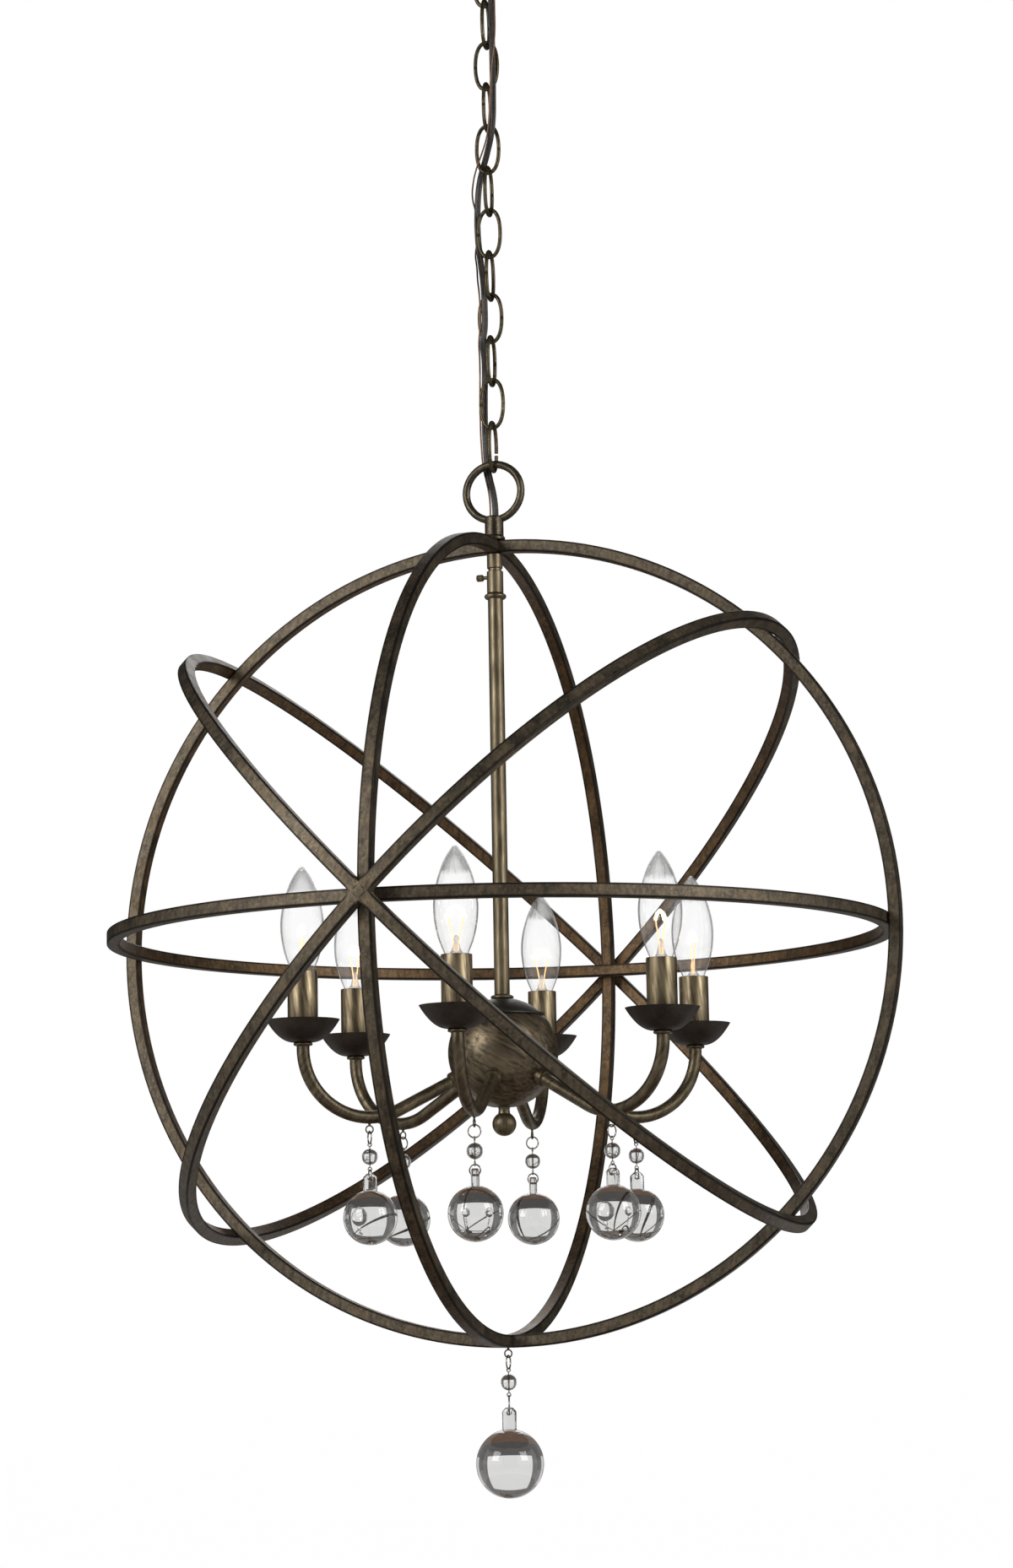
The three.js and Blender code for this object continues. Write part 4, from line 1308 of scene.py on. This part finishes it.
# %% Six lights
PATTERNS = {
    "arm": (arm_pattern, "arm_{}", "orb"),
    "pan": (pan_pattern, "bobeche_{}", "orb"),
    "candle": (candle_pattern, "candle_sleeve_{}", "orb"),
    "bulb": (bulb_pattern, "bulb_{}", "bulb_body_{}"),
    "base": (base_pattern, "bulb_{}", "bulb_body_{}"),
    "foot": (foot_pattern, "bulb_{}", "bulb_body_{}"),
    "supports": (supports_pattern, "bulb_{}", "bulb_body_{}"),
    "coil": (coil_pattern, "bulb_{}", "bulb_body_{}"),
    "wires": (drop_patterns[0], "arm_drop_{}", "drop_body_{}"),
    "bead": (drop_patterns[1], "arm_drop_{}", "drop_body_{}"),
    "ball": (drop_patterns[2], "arm_drop_{}", "drop_body_{}"),
}
lights = {part: [] for part in PATTERNS}
for number in range(1, 7):
    turn = FIRST_ARM + math.tau * (number - 1) / 6
    for part, (pattern, node, body) in PATTERNS.items():
        copy = copied(pattern, f"light_{number}_{part}", turn=turn)
        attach(copy, body.format(number))
        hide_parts(node.format(number))
        lights[part].append(copy)
for pattern, _, _ in PATTERNS.values():
    bpy.data.objects.remove(pattern)
print("Six lights of", len(lights), "pieces each")

# %% [markdown]
# Now the finishes. Each is a few patterns wired into one shader. A small helper adds a node and links or
# sets its inputs, so that each finish reads as a list of what it is made of.

# %% Wiring helper
def new_finish(name):
    """A fresh material and its shader."""
    material = bpy.data.materials.new(name)
    material.use_nodes = True
    return material, material.node_tree, material.node_tree.nodes["Principled BSDF"]


def add(tree, kind, inputs=None, **settings):
    """Adds a node. Inputs that are sockets are linked, others are set."""
    node = tree.nodes.new(kind)
    for key, value in settings.items():
        setattr(node, key, value)
    for socket, value in (inputs or {}).items():
        if isinstance(value, bpy.types.NodeSocket):
            tree.links.new(value, node.inputs[socket])
        else:
            node.inputs[socket].default_value = value
    return node


def spread(tree, value, stops):
    """A colour ramp over a value, from (place, colour) stops."""
    ramp = add(tree, "ShaderNodeValToRGB", {"Fac": value})
    band = ramp.color_ramp
    while len(band.elements) < len(stops):
        band.elements.new(0.5)
    for element, (where, colour) in zip(band.elements, stops):
        element.position = where
        element.color = (*colour, 1)
    return ramp.outputs["Color"]


def pattern(tree, scale, stretch=(1, 1, 1), turn=(0, 0, 0), detail=4.0, roughness=0.55):
    """Noise on the piece's own coordinates, stretched and turned."""
    place = add(tree, "ShaderNodeTexCoord").outputs["Object"]
    slant = [math.radians(a) for a in turn]
    stance = {"Vector": place, "Scale": stretch, "Rotation": slant}
    mapped = add(tree, "ShaderNodeMapping", stance, vector_type="TEXTURE").outputs["Vector"]
    grain = {"Vector": mapped, "Scale": scale, "Detail": detail, "Roughness": roughness}
    return add(tree, "ShaderNodeTexNoise", grain).outputs["Fac"]


def blended(tree, share, first, second, blend="MIX"):
    """Mixes two colours."""
    mix = add(tree, "ShaderNodeMix", data_type="RGBA", blend_type=blend)
    for index, value in ((0, share), (6, first), (7, second)):
        if isinstance(value, bpy.types.NodeSocket):
            tree.links.new(value, mix.inputs[index])
        else:
            mix.inputs[index].default_value = value if index == 0 else (*value, 1)
    return mix.outputs[2]


def blended_share(tree, value, share):
    """A pattern weakened to a share of its strength."""
    return add(tree, "ShaderNodeMath", {0: value, 1: share}, operation="MULTIPLY").outputs["Value"]


def bumped(tree, shader, height, strength, distance):
    bump = add(tree, "ShaderNodeBump", {"Height": height, "Strength": strength, "Distance": distance})
    tree.links.new(bump.outputs["Normal"], shader.inputs["Normal"])


def dress(things, *materials):
    """Gives pieces their material, in place of any they had."""
    for thing in things if isinstance(things, (list, tuple)) else [things]:
        thing.data.materials.clear()
        for material in materials:
            thing.data.materials.append(material)


# %% [markdown]
# The bars have an antique finish: a dark bronze coat rubbed back by hand, so that it is mottled gold, olive
# and brown on the flats. Painted shade makes the rounded corners nearly black, and painted warm light from
# the bulbs tints the faces that look in to the candles. Which way a face looks comes from its normal.

# %% Ring bronze
def ring_bronze():
    material, tree, shader = new_finish("ring_bronze")
    cloud = pattern(tree, 60, detail=5)
    speck = pattern(tree, 420, detail=3, roughness=0.65)
    streak = pattern(tree, 300, stretch=(1, 1, 4), turn=(20, 15, 0), detail=4)
    coat = (
        (0.3, (0.060, 0.050, 0.038)),
        (0.5, (0.098, 0.080, 0.058)),
        (0.68, (0.135, 0.104, 0.068)),
    )
    base = spread(tree, cloud, coat)
    rubbed = spread(tree, streak, ((0.35, (0.55, 0.55, 0.55)), (0.65, (1.35, 1.32, 1.25))))
    gold = spread(tree, speck, ((0.5, (0, 0, 0)), (0.72, (1, 1, 1))))
    colour = blended(tree, 0.8, base, rubbed, "MULTIPLY")
    colour = blended(tree, blended_share(tree, gold, 0.45), colour, (0.26, 0.20, 0.125))
    # Painted warm light from the bulbs, on the faces that look in towards the middle of the ball.
    place = add(tree, "ShaderNodeTexCoord")
    from_middle = {0: place.outputs["Object"], 1: ORB}
    outward = add(tree, "ShaderNodeVectorMath", from_middle, operation="SUBTRACT").outputs["Vector"]
    outward = add(tree, "ShaderNodeVectorMath", {0: outward}, operation="NORMALIZE").outputs["Vector"]
    two_ways = {0: outward, 1: place.outputs["Normal"]}
    faces_out = add(tree, "ShaderNodeVectorMath", two_ways, operation="DOT_PRODUCT").outputs["Value"]
    inner = add(tree, "ShaderNodeMapRange", {"Value": faces_out, "From Min": -0.4, "From Max": -0.7})
    colour = blended(tree, inner.outputs["Result"], colour, (1.18, 0.95, 0.76), "MULTIPLY")
    # Painted shade: the rounded corners, picked by the corner note, are darkened nearly to black.
    corner = add(tree, "ShaderNodeAttribute", attribute_name="corner").outputs["Fac"]
    edge = spread(tree, corner, ((0.15, (0, 0, 0)), (0.75, (1, 1, 1))))
    colour = blended(tree, blended_share(tree, edge, 0.85), colour, (0.012, 0.010, 0.008))
    tree.links.new(colour, shader.inputs["Base Color"])
    shader.inputs["Metallic"].default_value = 0.85
    rough = spread(tree, cloud, ((0.3, (0.42, 0.42, 0.42)), (0.7, (0.56, 0.56, 0.56))))
    tree.links.new(rough, shader.inputs["Roughness"])
    bumped(tree, shader, streak, 0.25, 0.2 * MM)
    return material


RING_BRONZE = ring_bronze()
dress([equator, face, side, leaning], RING_BRONZE)

# %% [markdown]
# The stem, the hub, the arms and the candles are brushed: the dark glaze has been wiped off in short slanting
# strokes, so thin gold lines show. Noise that is squeezed across one slanting direction gives such strokes.

# %% Brushed bronze
def brushed_bronze(name, turn, dark, gold, contrast=1.0):
    material, tree, shader = new_finish(name)
    strokes = pattern(tree, 340, stretch=(1, 1, 14), turn=turn, detail=5, roughness=0.6)
    hairs = pattern(tree, 900, stretch=(1, 1, 20), turn=turn, detail=3)
    cloud = pattern(tree, 45, detail=4)
    colour = spread(tree, strokes, ((0.5 - 0.2 / contrast, dark), (0.5 + 0.22 / contrast, gold)))
    shade = spread(tree, cloud, ((0.3, (0.62, 0.6, 0.56)), (0.7, (1.2, 1.18, 1.12))))
    colour = blended(tree, 0.7, colour, shade, "MULTIPLY")
    tree.links.new(colour, shader.inputs["Base Color"])
    shader.inputs["Metallic"].default_value = 0.8
    rough = spread(tree, hairs, ((0.3, (0.3, 0.3, 0.3)), (0.7, (0.46, 0.46, 0.46))))
    tree.links.new(rough, shader.inputs["Roughness"])
    bumped(tree, shader, hairs, 0.3, 0.15 * MM)
    return material


STEM_BRONZE = brushed_bronze("stem_bronze", (3, 4, 0), (0.085, 0.068, 0.042), (0.24, 0.195, 0.125))
CANDLE_BRONZE = brushed_bronze("candle_bronze", (4, -7, 0), (0.085, 0.066, 0.04), (0.36, 0.29, 0.185), 1.3)
HUB_BRONZE = brushed_bronze("hub_bronze", (0, 118, 17), (0.045, 0.037, 0.025), (0.24, 0.19, 0.125), 1.2)
ARM_BRONZE = brushed_bronze("arm_bronze", (0, 40, 0), (0.055, 0.044, 0.028), (0.19, 0.15, 0.095))
dress([stem, sleeve, screw, finial], STEM_BRONZE)
dress(lights["candle"], CANDLE_BRONZE)
dress(hub_bowl, HUB_BRONZE)
dress(lights["arm"], ARM_BRONZE)

# %% [markdown]
# The drip pans, the chain and the two loops were left darker: a matt brown, nearly black on the pans, and
# a little brass showing on the chain where the links rub.

# %% Dark bronze
def dark_bronze(name, deep, light, rubbed, rub_share, roughness, metal=0.6):
    material, tree, shader = new_finish(name)
    cloud = pattern(tree, 90, detail=5)
    speck = pattern(tree, 520, detail=3, roughness=0.7)
    colour = spread(tree, cloud, ((0.32, deep), (0.68, light)))
    shows = spread(tree, speck, ((0.52, (0, 0, 0)), (0.7, (1, 1, 1))))
    colour = blended(tree, blended_share(tree, shows, rub_share), colour, rubbed)
    tree.links.new(colour, shader.inputs["Base Color"])
    shader.inputs["Metallic"].default_value = metal
    rough = spread(tree, cloud, ((0.3, (roughness - 0.06,) * 3), (0.7, (roughness + 0.08,) * 3)))
    tree.links.new(rough, shader.inputs["Roughness"])
    bumped(tree, shader, speck, 0.2, 0.12 * MM)
    return material


PAN_BRONZE = dark_bronze(
    "pan_bronze", (0.022, 0.017, 0.013), (0.045, 0.034, 0.025), (0.09, 0.068, 0.045), 0.3, 0.5
)
# The hub cap's dark blue-grey colour is a painted reflection of the dark space above it.
CAP_PAINTED_REFLECTION = dark_bronze(
    "cap_painted_reflection", (0.028, 0.026, 0.022), (0.05, 0.046, 0.039), (0.10, 0.085, 0.06), 0.2, 0.42
)
CHAIN_BRASS = dark_bronze(
    "chain_brass", (0.035, 0.028, 0.016), (0.10, 0.08, 0.045), (0.30, 0.24, 0.13), 0.4, 0.36, 0.85
)
LOOP_BRONZE = dark_bronze(
    "loop_bronze", (0.04, 0.033, 0.022), (0.10, 0.082, 0.055), (0.28, 0.22, 0.135), 0.4, 0.38, 0.85
)
dress(lights["pan"], PAN_BRONZE)
dress(hub_cap, CAP_PAINTED_REFLECTION)
dress(links, CHAIN_BRASS)
dress([canopy, canopy_loop, top_loop], LOOP_BRONZE)

# %% [markdown]
# Small finishes: the zinc of the hidden strap, the brown skin of the cord, bare copper, the tin of the
# bulbs' bases and the nickel of the drop wires.

# %% Plain metals and cord
def plain_metal(name, deep, light, roughness, scale=200):
    material, tree, shader = new_finish(name)
    cloud = pattern(tree, scale, detail=4)
    tree.links.new(spread(tree, cloud, ((0.3, deep), (0.7, light))), shader.inputs["Base Color"])
    shader.inputs["Metallic"].default_value = 1.0
    rough = spread(tree, cloud, ((0.3, (roughness - 0.05,) * 3), (0.7, (roughness + 0.08,) * 3)))
    tree.links.new(rough, shader.inputs["Roughness"])
    return material


def cord_skin():
    material, tree, shader = new_finish("cord_skin")
    cloud = pattern(tree, 140, stretch=(1, 1, 0.3), detail=4)
    colour = spread(tree, cloud, ((0.3, (0.017, 0.014, 0.011)), (0.7, (0.036, 0.029, 0.023))))
    tree.links.new(colour, shader.inputs["Base Color"])
    shader.inputs["Roughness"].default_value = 0.42
    bumped(tree, shader, cloud, 0.15, 0.2 * MM)
    return material


ZINC = plain_metal("zinc", (0.42, 0.43, 0.44), (0.6, 0.61, 0.62), 0.38, 60)
COPPER = plain_metal("copper", (0.12, 0.066, 0.042), (0.22, 0.12, 0.075), 0.34)
TIN = plain_metal("tin", (0.5, 0.49, 0.46), (0.68, 0.67, 0.64), 0.28)
NICKEL = plain_metal("nickel", (0.22, 0.21, 0.195), (0.42, 0.41, 0.39), 0.2)
CORD_SKIN = cord_skin()
dress(frame["nodes"]["mounting_strap"], ZINC)
dress(cord_lengths, CORD_SKIN)
dress(ground_lengths, COPPER)
dress(lights["base"], TIN)
dress(lights["wires"] + [low_wires], NICKEL)

# %% [markdown]
# Glass is a clear shader with the right index. The drops are solid crystal, and a trace of uneven surface
# keeps them from looking drawn. A bulb is so thin that light goes nearly straight through, so most of its
# surface is see-through, and only its edge and its drawn-off tip, where the glass is thick, bend the light.

# %% Glass
def clear_glass(name, index, tint, waves):
    material, tree, shader = new_finish(name)
    flow = pattern(tree, 30, detail=2)
    tree.links.new(spread(tree, flow, ((0.3, tint), (0.7, (1, 1, 1)))), shader.inputs["Base Color"])
    shader.inputs["Transmission Weight"].default_value = 1.0
    shader.inputs["Roughness"].default_value = 0.0
    shader.inputs["IOR"].default_value = index
    bumped(tree, shader, flow, waves, 0.3 * MM)
    return material


def bulb_glass():
    """Thin glass: what is behind shows straight through, and the edge and the drawn-off tip are smoky."""
    material, tree, shader = new_finish("bulb_glass")
    place = add(tree, "ShaderNodeTexCoord").outputs["Object"]
    height = add(tree, "ShaderNodeSeparateXYZ", {"Vector": place}).outputs["Z"]
    tip_from = candle_top + BULB_HEIGHT * 0.74
    climb = {"Value": height, "From Min": tip_from, "From Max": tip_from + 3 * MM, "To Max": 0.42}
    tip = add(tree, "ShaderNodeMapRange", climb).outputs["Result"]
    facing = add(tree, "ShaderNodeLayerWeight", {"Blend": 0.5}).outputs["Facing"]
    rim = spread(tree, facing, ((0.0, (0.03, 0.03, 0.03)), (0.6, (0.09, 0.09, 0.09)), (0.9, (0.8, 0.8, 0.8))))
    solid = add(tree, "ShaderNodeMath", {0: tip, 1: rim}, operation="MAXIMUM").outputs["Value"]
    tree.links.new(solid, shader.inputs["Alpha"])
    shader.inputs["Base Color"].default_value = (0.97, 0.98, 0.98, 1)
    shader.inputs["Transmission Weight"].default_value = 1.0
    shader.inputs["Roughness"].default_value = 0.0
    shader.inputs["IOR"].default_value = 1.45
    return material


def glow(name, colour, strength):
    material, tree, shader = new_finish(name)
    warm = pattern(tree, 300, detail=2)
    tree.links.new(spread(tree, warm, ((0.3, colour), (0.8, (1, 0.9, 0.7)))), shader.inputs["Emission Color"])
    shader.inputs["Emission Strength"].default_value = strength
    shader.inputs["Base Color"].default_value = (*colour, 1)
    return material


BULB_GLASS = bulb_glass()
FOOT_GLASS = clear_glass("foot_glass", 1.5, (0.95, 0.93, 0.88), 0.1)
CRYSTAL = clear_glass("crystal", 1.52, (0.97, 0.975, 0.975), 0.03)
FOOT_GLASS.node_tree.nodes["Principled BSDF"].inputs["Alpha"].default_value = 0.4
FILAMENT = glow("filament", (1.0, 0.8, 0.5), 30)
# Painted glow: the lead wires get a faint amber emission, though only the coil gives light.
AMBER_WIRE_PAINTED_GLOW = glow("amber_wire_painted_glow", (0.95, 0.5, 0.16), 0.9)
dress(lights["bulb"], BULB_GLASS)
dress(lights["foot"], FOOT_GLASS)
dress(lights["coil"], FILAMENT)
dress(lights["supports"], AMBER_WIRE_PAINTED_GLOW)
dress(lights["bead"] + lights["ball"] + [low_bead, low_ball], CRYSTAL)
print("Finishes on", len(bpy.data.materials), "materials")

# %% [markdown]
# The lamp hangs in a white room. The world is white to the eye and in reflections, grey to a ray that has
# gone through glass, and gives a moderate, even light. Four wide soft lamps stand round the lamp: left,
# right, over the top and behind.

# %% World and lamps
world = bpy.data.worlds.new("white_room")
scene.world = world
world.use_nodes = True
sky = world.node_tree
sky.nodes.clear()
EVEN_LIGHT = 0.4
GLASS_ROOM = 0.12
path = add(sky, "ShaderNodeLightPath")
either = {0: path.outputs["Is Camera Ray"], 1: path.outputs["Is Glossy Ray"]}
seen = add(sky, "ShaderNodeMath", either, operation="MAXIMUM")
white = add(sky, "ShaderNodeBackground", {"Color": (1, 1, 1, 1), "Strength": 1.0})
even = add(sky, "ShaderNodeBackground", {"Color": (1, 1, 1, 1), "Strength": EVEN_LIGHT})
grey = add(sky, "ShaderNodeBackground", {"Color": (1, 0.97, 0.94, 1), "Strength": GLASS_ROOM})
both = add(sky, "ShaderNodeMixShader", {0: seen.outputs[0], 1: even.outputs[0], 2: white.outputs[0]})
passed = path.outputs["Is Transmission Ray"]
whole = add(sky, "ShaderNodeMixShader", {0: passed, 1: both.outputs[0], 2: grey.outputs[0]})
add(sky, "ShaderNodeOutputWorld", {"Surface": whole.outputs[0]})


def soft_lamp(name, azimuth, rise, distance, size, power):
    """A square soft lamp that faces the orb."""
    turn = math.radians(azimuth)
    away = Vector((math.sin(turn), -math.cos(turn), rise)).normalized()
    put_down()
    bpy.ops.object.light_add(type="AREA", location=ORB + away * distance)
    lamp = bpy.context.object
    lamp.name = name
    lamp.rotation_euler = away.to_track_quat("Z", "Y").to_euler()
    lamp.data.shape = "RECTANGLE"
    lamp.data.size = size
    lamp.data.size_y = size * 1.3
    lamp.data.energy = power
    lamp.visible_transmission = False
    return lamp


soft_lamp("left_lamp", -35, 0.35, 3.0, 1.3, 38)
soft_lamp("right_lamp", 70, 0.35, 3.0, 1.3, 38)
soft_lamp("top_lamp", 17, 2.5, 3.0, 1.6, 8)
soft_lamp("back_lamp", 195, 0.5, 3.2, 1.6, 22)

# %% [markdown]
# Metal is mostly what it mirrors. In an all-white room it would look like plaster, so, as a photographer
# does, dark cards stand out of sight. A curved one behind the lamp draws the black outlines of every bar, one
# behind the camera keeps the flats calm, and one under the ceiling keeps the upper faces dark. Glass sees
# the round ones far below, and the balls show them upside down. Only mirror and glass rays see any card.

# %% Dark cards
def card_paint(name, colour):
    material, tree, shader = new_finish(name)
    shader.inputs["Base Color"].default_value = (0, 0, 0, 1)
    shader.inputs["Emission Color"].default_value = (*colour, 1)
    shader.inputs["Emission Strength"].default_value = 1.0
    shader.inputs["Roughness"].default_value = 1.0
    shader.inputs["Specular IOR Level"].default_value = 0.0
    return material


def out_of_sight(card, glossy=True, glass=False):
    card.visible_camera = False
    card.visible_diffuse = False
    card.visible_shadow = False
    card.visible_volume_scatter = False
    card.visible_glossy = glossy
    card.visible_transmission = glass


def curved_card(name, azimuth, spread_angle, radius, low_edge, high_edge, colour):
    """An upright card bent round the lamp, centred on an azimuth."""
    width = math.radians(spread_angle)
    card = outline_object([(radius, low_edge), (radius, high_edge)])
    bpy.ops.mesh.spin(steps=24, angle=width, center=(0, 0, 0), axis=(0, 0, 1))
    bpy.ops.object.mode_set(mode="OBJECT")
    settle(card, name)
    middle_of = sum((v.co for v in card.data.vertices), Vector()) / len(card.data.vertices)
    now = math.atan2(middle_of.y, middle_of.x)
    card.data.transform(Matrix.Rotation(math.radians(azimuth - 90) - now, 4, "Z"))
    dress(card, card_paint(name + "_paint", colour))
    return card


out_of_sight(curved_card("back_card", 197, 150, 4.2, -2.1, 1.6, (0.02, 0.02, 0.02)))
out_of_sight(curved_card("front_card", 17, 56, 4.4, -2.1, 1.6, (0.16, 0.16, 0.16)))


def round_card(name, level, radius, colour):
    put_down()
    bpy.ops.mesh.primitive_circle_add(vertices=64, radius=radius, fill_type="NGON", location=(0, 0, level))
    card = bpy.context.object
    card.name = name
    dress(card, card_paint(name + "_paint", colour))
    return card


out_of_sight(round_card("ceiling_card", 1.65, 4.5, (0.03, 0.03, 0.03)))
out_of_sight(round_card("floor_card", -2.1, 1.42, (0.13, 0.083, 0.058)), glass=True)
out_of_sight(round_card("grey_card", -2.12, 6.5, (0.075, 0.072, 0.068)), glossy=False, glass=True)

# %% [markdown]
# Glass is the other way round: it needs a grey room with a few bright windows in it. Four white panels stand
# round the lamp, seen only by rays that have passed through glass, so each ball shows a bright pane in a grey
# rim from every side.

# %% White panes
PANE_WIDTH = 62
PANE_LOW = -2.08
PANE_HIGH = 1.55
for number, azimuth in enumerate((197, 287, 17, 107)):
    pane = curved_card(f"pane_{number + 1}", azimuth, PANE_WIDTH, 3.9, PANE_LOW, PANE_HIGH, (0.7, 0.7, 0.69))
    out_of_sight(pane, glossy=False, glass=True)

# %% [markdown]
# The floor is wide, pale and plain, well below the ball. It takes the lamp's soft shadow. To the eye it is
# lifted nearly to white, so that the picture has no horizon, and glass does not see it.

# %% Floor
FLOOR_LEVEL = -2.2
put_down()
bpy.ops.mesh.primitive_circle_add(vertices=96, radius=60, fill_type="NGON", location=(0, 0, FLOOR_LEVEL))
floor = bpy.context.object
floor.name = "floor"
floor_paint, floor_tree, floor_shader = new_finish("floor_paint")
floor_shader.inputs["Base Color"].default_value = (0.9, 0.9, 0.9, 1)
floor_shader.inputs["Roughness"].default_value = 0.9
looked = add(floor_tree, "ShaderNodeLightPath").outputs["Is Camera Ray"]
lit = add(floor_tree, "ShaderNodeEmission", {"Color": (1, 1, 1, 1), "Strength": 1.1})
share_lit = add(floor_tree, "ShaderNodeMath", {0: looked, 1: 0.85}, operation="MULTIPLY")
halves = {0: share_lit.outputs[0], 1: floor_shader.outputs[0], 2: lit.outputs[0]}
floor_mix = add(floor_tree, "ShaderNodeMixShader", halves)
floor_tree.links.new(floor_mix.outputs[0], floor_tree.nodes["Material Output"].inputs["Surface"])
dress(floor, floor_paint)
floor.visible_transmission = False
scene.view_settings.view_transform = "Standard"
